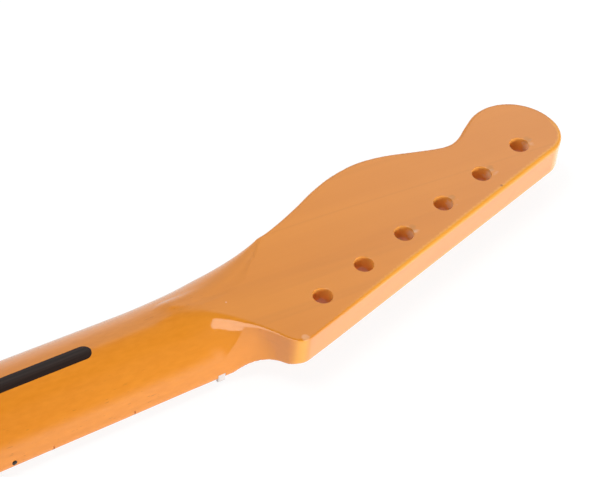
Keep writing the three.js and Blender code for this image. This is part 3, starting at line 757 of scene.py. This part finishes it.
def plugField(points, radius=rodWork["anchorRadius"]):
    x, y, z = points.T
    along = np.maximum(x - (rodWork["plugEnd"] - radius), 0)
    bullet = np.hypot(np.hypot(y, z - rodWork["rodNutEnd"]), along) - radius
    return np.maximum(np.maximum(blankField(points), bullet), anchorEnd + rodWork["room"] - x)


def plugBore():
    radius = rodWork["anchorRadius"] + rodWork["plugRoom"]
    noseFrom = rodWork["plugEnd"] - rodWork["anchorRadius"]
    turn = np.linspace(0, math.pi / 2 - 0.01, 9)
    profile = [(radius, -rodWork["anchorFromNut"] - rodWork["room"])]
    profile += [(radius * math.cos(a), noseFrom + radius * math.sin(a)) for a in turn]
    return turned(profile, (0, 0, rodWork["rodNutEnd"]), axis=0)


def rodBore(steps=60, sides=20):
    fromHeel, fromAnchor = rodWork["rodBoreEnds"]
    radius = rodWork["rodRadius"] + rodWork["room"]
    angles = np.arange(sides) * 2 * math.pi / sides
    across, up = radius * np.cos(angles), radius * np.sin(angles)
    places = np.linspace(fromHeel - blank["nutToHeel"], anchorEnd - fromAnchor, steps)
    return loft([np.column_stack([np.full(sides, x), across, rodHeight(x) + up]) for x in places])


# Materials

def newMaterial(name):
    material = bpy.data.materials.new(name)
    material.use_nodes = True
    material.node_tree.nodes.clear()
    return material, Wire(material.node_tree)


def finishMaterial(wire, shader, surface):
    made = wire.make("ShaderNodeBsdfPrincipled", None, shader)
    wire.make("ShaderNodeOutputMaterial", None, {"Surface": made})
    return surface


def objectPlace(wire):
    return wire.make("ShaderNodeTexCoord", None, None, "Object")


# Noise stretched by a scale, and lifted to another part of the pattern
def stretched(wire, place, scale, detail, roughness, lift):
    pulled = wire.make("ShaderNodeVectorMath", {"operation": "MULTIPLY"}, {0: place, 1: scale})
    shift = (lift, lift * 0.7, lift * 1.3)
    moved = wire.make("ShaderNodeVectorMath", {"operation": "ADD"}, {0: pulled, 1: shift})
    return wire.make("ShaderNodeTexNoise", {"noise_dimensions": "3D"},
                     {"Vector": moved, "Scale": 1.0, "Detail": detail, "Roughness": roughness}, "Fac")


def remap(wire, value, low, high, toLow=0.0, toHigh=1.0):
    return wire.make("ShaderNodeMapRange", {"interpolation_type": "SMOOTHSTEP"},
                     {"Value": value, "From Min": low, "From Max": high, "To Min": toLow, "To Max": toHigh})


def blendColour(wire, share, first, second):
    return wire.make("ShaderNodeMix", {"data_type": "RGBA"}, {0: share, 6: first, 7: second}, 2)


def distanceTo(wire, place, middle):
    return wire.make("ShaderNodeVectorMath", {"operation": "DISTANCE"}, {0: place, 1: middle}, "Value")


maple = {
    # edge: painted light on the rounded corner and edge; the bores' bare-wood colour: lightened as painted
    # light
    "light": (0.86, 0.30, 0.022, 1), "deep": (0.72, 0.225, 0.010, 1), "line": (0.42, 0.12, 0.008, 1),
    "pore": (0.36, 0.10, 0.008, 1), "edge": (0.95, 0.40, 0.030, 1), "bareLitWood": (0.94, 0.45, 0.10, 1),
    "roughness": 0.42, "specular": 0.1, "coatRoughness": 0.05, "coatLostWhereRaw": 0.4, "grainTurn": 0.066,
    "bump": {"Strength": 0.06, "Distance": 0.0002},
    # How much of each colour its pattern lays on, and how the patterns add up to light or deep wood
    "lineShare": 0.09, "poreShare": 0.6, "edgeShare": 0.85, "bareLitWoodShare": 0.85,
    "wideInTone": 0.75, "fineInTone": 0.12, "mottleInTone": 0.5, "lighter": 0.08, "darkest": -0.25,
    # Where a pattern comes in, then, in millimetres from the nut, where the shaft and its dark part end
    "ringComes": (0.0, 0.045), "patchComes": (0.42, 0.62), "poreComes": (0.70, 0.76),
    "toneComes": (0.05, 0.98), "shaftEnds": (-10.0, 20.0), "darkEnds": (-140.0, -20.0),
    # Patterns, as (scale, detail, roughness, lift)
    "patterns": {
        "wide": ((4.0, 46.0, 46.0), 3.0, 0.5, 3.1), "fibre": ((16.0, 900.0, 900.0), 3.0, 0.6, 7.7),
        "figure": ((75.0, 16.0, 16.0), 2.0, 0.5, 1.3), "rings": ((3.2, 78.0, 60.0), 1.5, 0.4, 5.2),
        "mottle": ((230.0, 620.0, 620.0), 1.5, 0.5, 6.1), "patches": ((11.0, 60.0, 60.0), 1.0, 0.5, 9.0),
        "pores": ((260.0, 2300.0, 2300.0), 1.0, 0.5, 2.0),
    },
    # Small spots laid on the colour, as (place from the nut, depth, radius, share, colour); the pale one by
    # the shoulder's corner is a painted reflection
    "marks": [
        ((29.0, -32.6), 0.0, 1.9, 0.45, (0.95, 0.55, 0.30, 1)),
        ((12.0, -3.8), 0.0, 0.5, 0.6, (0.95, 0.62, 0.40, 1)),
        ((140.5, -1.1), 0.0, 0.7, 0.7, (0.30, 0.10, 0.02, 1)),
    ],
    # A pale patch of painted light on the wall inside the last bores, and darker spots on the rims beside
    # them, as (steps from the bore's middle, depth, ...)
    "boreMarks": [
        ((4.2, -0.9), 3.6, 4.2, 0.75, (0.90, 0.62, 0.42, 1)),
        ((4.6, 0.9), 0.0, 2.2, 0.4, (0.50, 0.19, 0.02, 1)),
    ],
    "firstMarkedBore": 2, "markCore": 0.4,
}


def mapleMaterial():
    surface, wire = newMaterial("lacquered maple")
    place = objectPlace(wire)
    along, across, upward = place.axes()
    turnedAcross = across + along * maple["grainTurn"]
    grain = wire.make("ShaderNodeCombineXYZ", None, {0: along, 1: turnedAcross, 2: upward})
    wide, fibre, figure, rings, mottle, patches, pores = (
        stretched(wire, grain, *pattern) for pattern in maple["patterns"].values())
    edge, bareLitWood = (wire.make("ShaderNodeAttribute", {"attribute_name": name}, None, "Fac")
                 for name in ("edge", "bareLitWood"))
    fromMiddle = rings - 0.5
    ring = 1 - remap(wire, fromMiddle.calc("ABSOLUTE", fromMiddle), *maple["ringComes"])
    shaftEnds, darkEnds = (nutPlace + np.array(maple[name]) * millimetre
                           for name in ("shaftEnds", "darkEnds"))
    shaft = 1 - remap(wire, along, *shaftEnds)
    patch = remap(wire, patches, *maple["patchComes"])
    pore = remap(wire, pores, *maple["poreComes"]) * patch * shaft
    tone = wide * maple["wideInTone"] + fibre * maple["fineInTone"] + figure * maple["fineInTone"]
    tone = tone + (mottle - 0.5) * shaft * maple["mottleInTone"] + maple["lighter"]
    tone = tone + remap(wire, along, *darkEnds, maple["darkest"], 0.0)
    colour = blendColour(wire, remap(wire, tone, *maple["toneComes"]), maple["deep"], maple["light"])
    # The edge colour is painted light, and the bores' bare-wood colour is lightened as painted light on
    # their walls
    for name, share in {"line": ring * patch, "pore": pore, "edge": edge, "bareLitWood": bareLitWood}.items():
        colour = blendColour(wire, share * maple[name + "Share"], colour, maple[name])
    atBores = [((bore + step).tolist(), *rest) for bore in tunerPlaces[maple["firstMarkedBore"]:]
               for step, *rest in maple["boreMarks"]]
    # Spots on the colour: the pale one by the shoulder's corner is a painted reflection, the pale ones in
    # the bores painted light
    for spot, depth, radius, share, paint in maple["marks"] + atBores:
        away = distanceTo(wire, place, tuple(toFrame([*spot, blank["headstockBack"] - depth])))
        ragged = away + (mottle - 0.5) * radius * millimetre
        covered = 1 - remap(wire, ragged, radius * millimetre * maple["markCore"], radius * millimetre)
        colour = blendColour(wire, covered * share, colour, paint)
    bump = wire.make("ShaderNodeBump", None, {**maple["bump"], "Height": fibre - pore})
    return finishMaterial(wire, {
        "Base Color": colour, "Roughness": maple["roughness"], "Specular IOR Level": maple["specular"],
        "Coat Weight": 1 - bareLitWood * maple["coatLostWhereRaw"], "Coat Roughness": maple["coatRoughness"],
        "Normal": bump,
    }, surface)


# The other materials are one colour with specks; lacquerComes is in millimetres.
plain = {
    "speck": (3.0, 0.6, 4.0), "speckComes": (0.3, 0.7), "rougher": 1.2, "smoother": 0.85,
    "specular": 0.5, "specularUnderCoat": 0.1, "coatRoughness": 0.05, "lacquerComes": 0.2,
}


# A lacquered part is one above a height, as (height, colour)
def plainMaterial(name, colour, roughness, metallic, grain, depth, coat=0.0, lacquered=None):
    surface, wire = newMaterial(name)
    place = objectPlace(wire)
    speck, comes = stretched(wire, place, grain, *plain["speck"]), plain["speckComes"]
    dark = tuple(channel * (1 - depth) for channel in colour[:3]) + (1,)
    tinted = blendColour(wire, remap(wire, speck, *comes), dark, colour)
    if lacquered:
        height, paint = lacquered
        above = remap(wire, place.axes()[2], height, height + plain["lacquerComes"] * millimetre)
        tinted = blendColour(wire, above, tinted, paint)
    gloss = remap(wire, speck, *comes, roughness * plain["rougher"], roughness * plain["smoother"])
    return finishMaterial(wire, {
        "Base Color": tinted, "Roughness": gloss, "Metallic": metallic,
        "Specular IOR Level": plain["specularUnderCoat"] if coat else plain["specular"],
        "Coat Weight": coat, "Coat Roughness": plain["coatRoughness"],
    }, surface)


mapleSurface = mapleMaterial()
walnutSurface = plainMaterial("lacquered walnut", (0.030, 0.016, 0.012, 1), 0.4, 0.0, (18.0, 900.0, 900.0),
                              0.5, 0.25)
boneSurface = plainMaterial("white nut", (0.76, 0.71, 0.68, 1), 0.35, 0.0, (60.0, 200.0, 200.0), 0.06)
wireSurface = plainMaterial("fret wire", (0.72, 0.70, 0.66, 1), 0.22, 1.0, (900.0, 60.0, 900.0), 0.12,
                            lacquered=(boardPlane + 0.9 * millimetre, (0.62, 0.20, 0.03, 1)))
steelSurface = plainMaterial("rod steel", (0.42, 0.42, 0.43, 1), 0.38, 1.0, (60.0, 800.0, 800.0), 0.25)
dotSurface = plainMaterial("black dot", (0.018, 0.011, 0.006, 1), 0.35, 0.0, (400.0, 400.0, 400.0), 0.3, 0.2)
print("materials made")


# Pieces

# Hundredths of a millimetre beyond the CAD's box are pressed back into it.
def addPiece(piece, slotName, surface, *nodes, room=1e-6):
    points = np.clip(readAll(piece.data.vertices, "co"), np.array(cadLow) + room, np.array(cadHigh) - room)
    piece.data.vertices.foreach_set("co", points.ravel())
    piece.data.materials.clear()
    piece.data.materials.append(surface)
    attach(piece, "truss_nut" if "truss_adjusting_nut" in nodes else "neck")
    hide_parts(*nodes)
    print("piece", piece.name, len(piece.data.polygons), "faces")


def addWrapped(name, field, lines, slotName, surface, node, outside=None):
    vertices, faces = wrapSurface(field, lines)
    piece = meshObject(name, toFrame(vertices), faces)
    polishNormals(piece, outside or field)
    addPiece(piece, slotName, surface, node)


def addBlank():
    vertices, faces = blankSurface()
    piece = meshObject("maple_blank", toFrame(vertices), faces)
    print("blank wrapped:", len(vertices), "points")
    cutAway(piece, blankCuts())
    cutAway(piece, [slotShape(rodWork["stripeWidth"] + 2 * rodWork["glueLine"]), heelBore(), plugBore()])
    cutAway(piece, [rodBore()])
    polishNormals(piece, blankField)
    markPaintedLight(piece, blankField)
    addPiece(piece, "maple", mapleSurface, "neck_blank")


# The grids that the rod's pieces are wrapped in. The stripe's is finer round its ends.
grids = {
    "stripeEnd": 1.8, "stripeEndReach": 3.6, "stripeEndSteps": 19, "stripeStraight": (8, 7, 4),
    "stripeAcross": (-3.4, 3.4, 18), "stripeUp": (9.9, 24, 0.5),
    "plugAlong": (-10.2, 0.5, 0.45), "plugAround": (-3.7, 3.8, 0.37),
    "nutAlong": (0.75, 15.4, 0.3), "nutBeyond": 0.1,
}


def addStripe():
    reach, (fromStart, fromEnd, step) = grids["stripeEndReach"], grids["stripeStraight"]
    ends = [np.linspace(x - reach, x + reach, grids["stripeEndSteps"])
            for x in (stripeX[0] + grids["stripeEnd"], stripeX[1] - grids["stripeEnd"])]
    straight = np.arange(stripeX[0] + fromStart, stripeX[1] - fromEnd, step)
    along = np.unique(np.concatenate([ends[0], straight, ends[1]]))
    lines = [along, np.linspace(*grids["stripeAcross"]), np.arange(*grids["stripeUp"])]
    addWrapped("walnut_stripe", stripeField, lines, "walnut", walnutSurface, "back_stripe", blankField)


def addPlug():
    middle, (start, beyond, cell) = rodWork["rodNutEnd"], grids["plugAlong"]
    low, high, step = grids["plugAround"]
    lines = [np.arange(start, rodWork["plugEnd"] + beyond, cell), np.arange(low, high, step),
             np.arange(middle + low, middle + high, step)]
    addWrapped("walnut_plug", plugField, lines, "walnut", walnutSurface, "anchor_plug")


addBlank()
addStripe()
addPlug()


# Repeated pieces by node trees

def repeater(name, sockets):
    tree = bpy.data.node_groups.new(name, "GeometryNodeTree")
    made = {}
    for label, kind in sockets:
        made[label] = tree.interface.new_socket(label, in_out="INPUT", socket_type=kind).identifier
    tree.interface.new_socket("Geometry", in_out="OUTPUT", socket_type="NodeSocketGeometry")
    entry = tree.nodes.new("NodeGroupInput")
    wires = {label: Wire(tree, entry.outputs[label]) for label, _ in sockets}
    return Wire(tree), wires, made


# Ends a tree: makes the instances real, moves their points and gives them their material.
def endTree(wire, instances, surface, shift=None):
    real = wire.make("GeometryNodeRealizeInstances", None, {0: instances})
    if shift:
        real = wire.make("GeometryNodeSetPosition", None, {"Geometry": real, "Offset": shift})
    dressed = wire.make("GeometryNodeSetMaterial", None, {"Geometry": real, "Material": surface})
    wire.make("NodeGroupOutput", None, {0: dressed})


def grownPiece(name, tree, identifiers, values, startMesh=None):
    piece = linked(name, startMesh or bpy.data.meshes.new(name))
    grow = piece.modifiers.new("grow", "NODES")
    grow.node_group = tree
    for label, value in values.items():
        grow[identifiers[label]] = value
    applyModifiers(piece)
    piece.data.set_sharp_from_angle(angle=0.7)
    return piece


fretWire = {
    "crownWidth": 2.1, "crownHeight": 1.1, "crownFullness": 0.85, "tangWidth": 0.6, "tangReach": 0.011,
    "endInset": 0.3, "endSlope": 0.9 / 24, "endWidth": 0.9, "endHeight": 0.25,
    "endSteps": [0.0, 0.25, 0.55, 0.8, 1.0], "crownFoot": 0.02, "shoulder": 0.05,
}


# One fret, two units long and in millimetres across, with a round crown, sloped ends and its tang
def fretBar():
    half, height, tang = fretWire["crownWidth"] / 2, fretWire["crownHeight"], fretWire["tangWidth"] / 2
    foot, shoulder, depth = fretWire["crownFoot"], fretWire["shoulder"], cuts["tangDepth"]
    arc = np.linspace(0, math.pi, 13)[1:-1]
    crown = [(half * math.cos(a), -height * math.sin(a) ** fretWire["crownFullness"]) for a in arc]
    profile = [(half, foot), *crown, (-half, foot), (-half, shoulder), (-tang, shoulder), (-tang, depth),
               (tang, depth), (tang, shoulder), (half, shoulder)]
    steps = fretWire["endSteps"]
    rings = []
    for side, share in [(-1, s) for s in steps] + [(0, 1.0)] + [(1, s) for s in reversed(steps)]:
        lift, ring = math.sin(share * math.pi / 2), []
        wide, high = (mix(fretWire[end], 1, lift) for end in ("endWidth", "endHeight"))
        for x, z in profile:
            reach = fretWire["tangReach"] * (1 - share) if z > shoulder else 0
            y = side * (1 + reach - fretWire["endSlope"] * share)
            ring.append((x * wide, y, z * high) if z < 0 else (x, y, z))
        rings.append(ring)
    return loft(rings)


def addFrets():
    points, faces = fretBar()
    bar = meshObject("fret bar", points * [millimetre, 1, millimetre], faces)
    lengths = {
        "Scale Length": cuts["scaleLength"], "Nut To Heel": blank["nutToHeel"],
        "Nut Width": blank["nutWidth"], "Heel Width": blank["heelWidth"],
        "Board Radius": blank["boardRadius"], "End Inset": fretWire["endInset"],
    }
    values = {label: length * millimetre for label, length in lengths.items()}
    values.update({"Nut Place": nutPlace, "Board Height": boardPlane})
    sockets = [("Count", "NodeSocketInt"), ("Bar", "NodeSocketObject")]
    sockets += [(label, "NodeSocketFloat") for label in values]
    wire, given, identifiers = repeater("frets by halving", sockets)
    number = wire.make("GeometryNodeInputIndex") + 1.0
    back = given["Scale Length"] - given["Scale Length"] / 2.0 ** (number / 12.0)
    line = wire.make("GeometryNodeMeshLine", None, {"Count": given["Count"], "Offset": (0, 0, 0)})
    spot = wire.make("ShaderNodeCombineXYZ", None, {0: back * -1.0})
    placed = wire.make("GeometryNodeSetPosition", None, {"Geometry": line, "Offset": spot})
    share = back / given["Nut To Heel"]
    wide = given["Nut Width"] + (given["Heel Width"] - given["Nut Width"]) * share
    half = wide / 2.0 - given["End Inset"]
    size = wire.make("ShaderNodeCombineXYZ", None, {0: 1.0, 1: half, 2: 1.0})
    shape = wire.make("GeometryNodeObjectInfo", None, {"Object": given["Bar"]}, "Geometry")
    bars = wire.make("GeometryNodeInstanceOnPoints", None,
                     {"Points": placed, "Instance": shape, "Scale": size})
    # The bars bend to the board's curve
    y, radius = wire.make("GeometryNodeInputPosition").axes()[1], given["Board Radius"]
    drop = radius - (radius * radius - y * y) ** 0.5
    shift = wire.make("ShaderNodeCombineXYZ", None, {0: given["Nut Place"], 2: drop + given["Board Height"]})
    endTree(wire, bars, wireSurface, shift)
    values.update({"Count": cuts["fretCount"], "Bar": bar})
    piece = grownPiece("frets", wire.tree, identifiers, values)
    bpy.data.objects.remove(bar)
    names = [f"fret_{number:02d}" for number in range(1, cuts["fretCount"] + 1)]
    addPiece(piece, "fret_wire", wireSurface, *names)


addFrets()

dots = {"bevelAcross": 0.12, "bevelDeep": 0.08, "floorRoom": 0.05, "faceSunk": 0.01, "sideSunk": 0.02}


def addDots(name, places, turns, radius, depth, nodes):
    profile = [(radius - dots["bevelAcross"], 0.0), (radius, dots["bevelDeep"]),
               (radius, depth - dots["floorRoom"])]
    points, faces = turned(profile, (0, 0, 0), sides=40)
    disc = meshObject("dot blank", points * millimetre, faces)
    start = bpy.data.meshes.new(name)
    start.from_pydata([tuple(place) for place in toFrame(places)], [], [])
    turn = start.attributes.new("turn", "FLOAT_VECTOR", "POINT")
    turn.data.foreach_set("vector", np.array(turns, float).ravel())
    sockets = [("Geometry", "NodeSocketGeometry"), ("Disc", "NodeSocketObject")]
    wire, given, identifiers = repeater(name, sockets)
    shape = wire.make("GeometryNodeObjectInfo", None, {"Object": given["Disc"]}, "Geometry")
    angle = wire.make("GeometryNodeInputNamedAttribute", {"data_type": "FLOAT_VECTOR"}, {"Name": "turn"})
    discs = wire.make("GeometryNodeInstanceOnPoints", None,
                      {"Points": given["Geometry"], "Instance": shape, "Rotation": angle})
    endTree(wire, discs, dotSurface)
    piece = grownPiece(name, wire.tree, identifiers, {"Disc": disc}, start)
    bpy.data.objects.remove(disc)
    addPiece(piece, "dot_black", dotSurface, *nodes)


def dotNames(kind, low, high):
    names = []
    for fret in cuts["dotFrets"]:
        name = f"{kind}_{fret:02d}"
        names += [f"{name}_{low}", f"{name}_{high}"] if fret == 12 else [name]
    return names


addDots("face_dots", [(x, y, float(boardFace(y)) + dots["faceSunk"]) for x, y in faceDotPlaces],
        [(y / blank["boardRadius"], 0, 0) for _, y in faceDotPlaces],
        cuts["faceDotRadius"], cuts["faceDotDepth"], dotNames("face_dot", "bass", "treble"))
addDots("side_dots",
        [(x, -float(halfWidths(x)[0]) + dots["sideSunk"], float(sideDotHeight(x))) for x in sideDotPlaces],
        [(-math.pi / 2, 0, 0) for _ in sideDotPlaces],
        cuts["sideDotRadius"], cuts["sideDotDepth"], dotNames("side_dot", "low", "high"))


# String nut and the truss rod's adjusting nut

stringNut = {
    "thickness": 3.2, "stand": 2.2, "edge": 0.35, "strings": 6, "stringToEnd": 2.95,
    "slotDepth": 0.9, "bassSlot": 1.3, "trebleSlot": 0.5, "slotEdge": 0.12, "cell": 0.25,
    "gridLow": (-0.1, -20.9, -2.4), "gridHigh": (3.5, 21.2, 3.1),
}


def nutField(points):
    x, y, z = points.T
    half, edge = blank["nutWidth"] / 2, stringNut["edge"]
    top = boardFace(y) - stringNut["stand"] - z
    thick = stringNut["thickness"] / 2
    slab = np.maximum(np.abs(x - thick) - thick, z - cuts["nutSeat"])
    body = roundBoth(roundBoth(slab, np.abs(y) - half, edge), top, edge)
    for string in range(stringNut["strings"]):
        share = string / (stringNut["strings"] - 1)
        middle = mix(stringNut["stringToEnd"] - half, half - stringNut["stringToEnd"], share)
        radius = mix(stringNut["bassSlot"], stringNut["trebleSlot"], share) / 2
        floor = float(boardFace(middle)) - stringNut["stand"] + stringNut["slotDepth"] - radius
        groove = np.hypot(y - middle, np.maximum(z - floor, 0)) - radius
        body = roundBoth(body, -groove, stringNut["slotEdge"])
    return body


def trussNutField(points):
    x, y, z = points.T
    z = z - rodWork["rodHeelEnd"]
    start = rodWork["nutRecess"] - blank["nutToHeel"]
    body = roundBoth(np.hypot(y, z) - rodWork["nutRadius"], start - x, rodWork["nutFrontEdge"])
    body = roundBoth(body, x - start - rodWork["nutLength"], rodWork["nutBackEdge"])
    body = np.maximum(body, rodWork["rodRadius"] + rodWork["room"] - np.hypot(y, z))
    wall = rodWork["crossWidth"] / 2 - np.minimum(np.abs(y), np.abs(z))
    slot = np.minimum(wall, start + rodWork["crossDepth"] - x)
    return roundBoth(body, slot, rodWork["crossEdge"])


def addTrussNut():
    end, middle = -blank["nutToHeel"], rodWork["rodHeelEnd"]
    (low, high, step), beyond = grids["nutAlong"], grids["nutBeyond"]
    radius = rodWork["nutRadius"] + rodWork["room"]
    lines = [np.arange(end + low, end + high, step), np.arange(-radius, radius + beyond, step),
             np.arange(middle - radius, middle + radius + beyond, step)]
    addWrapped("adjusting_nut", trussNutField, lines, "rod_steel", steelSurface, "truss_adjusting_nut")


nutEnds = zip(stringNut["gridLow"], stringNut["gridHigh"])
nutLines = [np.arange(low, high, stringNut["cell"]) for low, high in nutEnds]
addWrapped("bone_nut", nutField, nutLines, "nut_white", boneSurface, "string_nut")
addTrussNut()

for name in ("truss_rod", "truss_anchor", "truss_washer"):
    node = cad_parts[name]
    node.data.materials.clear()
    node.data.materials.append(steelSurface)


# Camera, floor and light

camera = {
    "place": (0.00527, -0.60510, 0.80629), "right": (0.84319, -0.53029, 0.08845),
    "up": (0.33438, 0.64612, 0.68609), "ahead": (0.42097, 0.54893, -0.72212),
    "lens": 176.45, "sensor": 36.0, "halfPixel": 0.5 / 598, "clip": (0.05, 50),
}


def addCamera():
    data = bpy.data.cameras.new("camera")
    data.lens = camera["lens"]
    data.sensor_width = camera["sensor"]
    data.shift_x = -camera["halfPixel"]
    data.shift_y = camera["halfPixel"]
    data.clip_start, data.clip_end = camera["clip"]
    eye = linked("camera", data)
    axes = [Vector(camera["right"]), Vector(camera["up"]), -Vector(camera["ahead"])]
    eye.matrix_world = Matrix.Translation(camera["place"]) @ Matrix(axes).transposed().to_4x4()
    bpy.context.scene.camera = eye


# A glow is (strength, east, north, up): a ray sees it where its direction's x, y and z have come from the
# first to the second number of each pair.
studio = {
    "aim": (0.42, 0.0, -0.01),
    "lamps": {
        "key": {"towards": (0.256, -0.947, 0.193), "distance": 1.6, "size": (1.3, 0.36), "radiance": 11.9},
        "fill": {"towards": (-0.44, 0.68, 0.58), "distance": 1.6, "size": (0.6, 0.6), "radiance": 4.2},
        "overhead": {"towards": (-0.20, 0.20, 0.96), "distance": 1.3, "size": (0.55, 0.4), "radiance": 6.4},
        "side": {"towards": (-0.60, -0.60, 0.53), "distance": 1.6, "size": (0.5, 0.5), "radiance": 2.6},
    },
    "panel": {"towards": (-0.773, -0.487, 0.407), "upright": (0.457, 0.017, 0.889), "distance": 1.6,
              "low": (-0.9, -1.7), "high": (0.70, 1.72), "cornerRadius": 0.42, "radiance": 4.3},
    "room": 0.24, "wallTowards": (0.61, 0.79), "wallGrows": (0.2, 0.75, 0.5, 1.0),
    "tipGlow": (1.0, (0.36, 0.52), (0.2, 0.45), (0.5, 0.65)),
    "frontGlow": (1.4, (0.0, 0.3), (-0.2, -0.7), (0.5, 0.1)),
    "overheadFades": (0.78, 0.92, 1.0, 0.25), "under": 0.8, "horizon": (-0.05, 0.05), "backdrop": 1.0,
}
paper = {
    "halfSize": 3.0, "below": 0.0004, "glow": 0.86, "soft": 0.22, "plain": 0.75,
    "mirrored": (0.02, -0.06, -0.2, 0.55), "bendsAt": 0.45, "bend": -0.27,
    "shade": 0.7, "shadePlace": (0.43, -0.03, 0.0), "shadeRadii": (0.012, 0.03),
}
white = (1, 1, 1, 1)


def addLamp(name, lamp):
    data = bpy.data.lights.new(name, "AREA")
    data.shape = "RECTANGLE"
    data.size, data.size_y = lamp["size"]
    data.energy = lamp["radiance"] * math.pi * lamp["size"][0] * lamp["size"][1]
    light = linked(name, data)
    towards = Vector(lamp["towards"]).normalized()
    light.location = Vector(studio["aim"]) + towards * lamp["distance"]
    light.rotation_euler = towards.to_track_quat("Z", "Y").to_euler()
    light.visible_glossy = False


# A pale panel beside the camera that only the gloss shows
def addPanel():
    panel = studio["panel"]
    towards = Vector(panel["towards"]).normalized()
    up = Vector(panel["upright"])
    up = (up - towards * up.dot(towards)).normalized()
    middle = Vector(studio["aim"]) + towards * panel["distance"]
    aside = up.cross(towards)
    (left, bottom), (right, top) = panel["low"], panel["high"]
    corners = np.array([(left, bottom), (right, bottom), (right, top), (left, top)])
    line = np.vstack([roundedCorner(corners[i - 1], corners[i], corners[(i + 1) % 4], panel["cornerRadius"])
                      for i in range(4)])
    points = [middle + aside * u + up * v for u, v in line]
    board = meshObject("light panel", points, [tuple(range(len(points)))])
    surface, wire = newMaterial("light panel")
    glow = wire.make("ShaderNodeEmission", None, {"Color": white, "Strength": panel["radiance"]})
    wire.make("ShaderNodeOutputMaterial", None, {"Surface": glow})
    board.data.materials.append(surface)
    board.visible_camera = board.visible_diffuse = board.visible_shadow = False


# A pale wall behind the neck that grows brighter upwards and fades overhead, a glow at the tip and one low
# in front, and white paper below
def addWorld():
    world = bpy.data.worlds.new("studio")
    bpy.context.scene.world = world
    world.use_nodes = True
    world.node_tree.nodes.clear()
    wire = Wire(world.node_tree)
    eastward, northward, upward = wire.make("ShaderNodeTexCoord", None, None, "Generated").axes()

    def glow(strength, east, north, up):
        inside = remap(wire, eastward, *east) * remap(wire, northward, *north) * remap(wire, upward, *up)
        return inside * strength

    east, north = studio["wallTowards"]
    wall = (eastward * east + northward * north).atLeast(0.0) * remap(wire, upward, *studio["wallGrows"])
    above = wall + glow(*studio["tipGlow"]) + glow(*studio["frontGlow"]) + studio["room"]
    above = above * remap(wire, upward, *studio["overheadFades"])
    under = 1 - remap(wire, upward, *studio["horizon"])
    level = above * (1 - under) + under * studio["under"]
    light, backdrop = (wire.make("ShaderNodeBackground", None, {"Color": white, "Strength": strength})
                       for strength in (level, studio["backdrop"]))
    path = wire.make("ShaderNodeLightPath", None, None, "Is Camera Ray")
    seen = wire.make("ShaderNodeMixShader", None, {0: path, 1: light, 2: backdrop})
    wire.make("ShaderNodeOutputWorld", None, {"Surface": seen})


def addFloor():
    size, low = paper["halfSize"], cadLow.z - paper["below"]
    corners = [(-size, -size, low), (size, -size, low), (size, size, low), (-size, size, low)]
    floor = meshObject("floor", corners, [(0, 1, 2, 3)])
    surface, wire = newMaterial("pale floor")
    seen, glossy, through = wire.make("ShaderNodeLightPath").outputs(
        "Is Camera Ray", "Is Glossy Ray", "Is Transmission Ray")
    place = objectPlace(wire)
    eastward, northward = place.axes()[:2]
    # What the gloss shows of the floor, with painted light and shade: brighter in front of the neck, and a
    # painted shadow right under its lip
    beside = (eastward - paper["bendsAt"]).atLeast(0.0) * paper["bend"] + northward
    away = distanceTo(wire, place, paper["shadePlace"])
    shade = (1 - remap(wire, away, *paper["shadeRadii"])) * paper["shade"]
    strength = glossy * (remap(wire, beside, *paper["mirrored"]) - shade) + paper["glow"]
    glow = wire.make("ShaderNodeEmission", None, {"Color": white, "Strength": strength})
    faint, plain = (wire.make("ShaderNodeBsdfDiffuse", None, {"Color": (grey, grey, grey, 1)})
                    for grey in (paper["soft"], paper["plain"]))
    bright = wire.make("ShaderNodeAddShader", None, {0: glow, 1: faint})
    shown = seen.atLeast(glossy.atLeast(through))
    both = wire.make("ShaderNodeMixShader", None, {0: shown, 1: plain, 2: bright})
    wire.make("ShaderNodeOutputMaterial", None, {"Surface": both})
    floor.data.materials.append(surface)


addCamera()
for name, lamp in studio["lamps"].items():
    addLamp(name, lamp)
addPanel()
addWorld()
addFloor()
bpy.context.scene.view_settings.view_transform = "Standard"

print("CAD box", [round(v, 6) for v in (*cadLow, *cadHigh)])
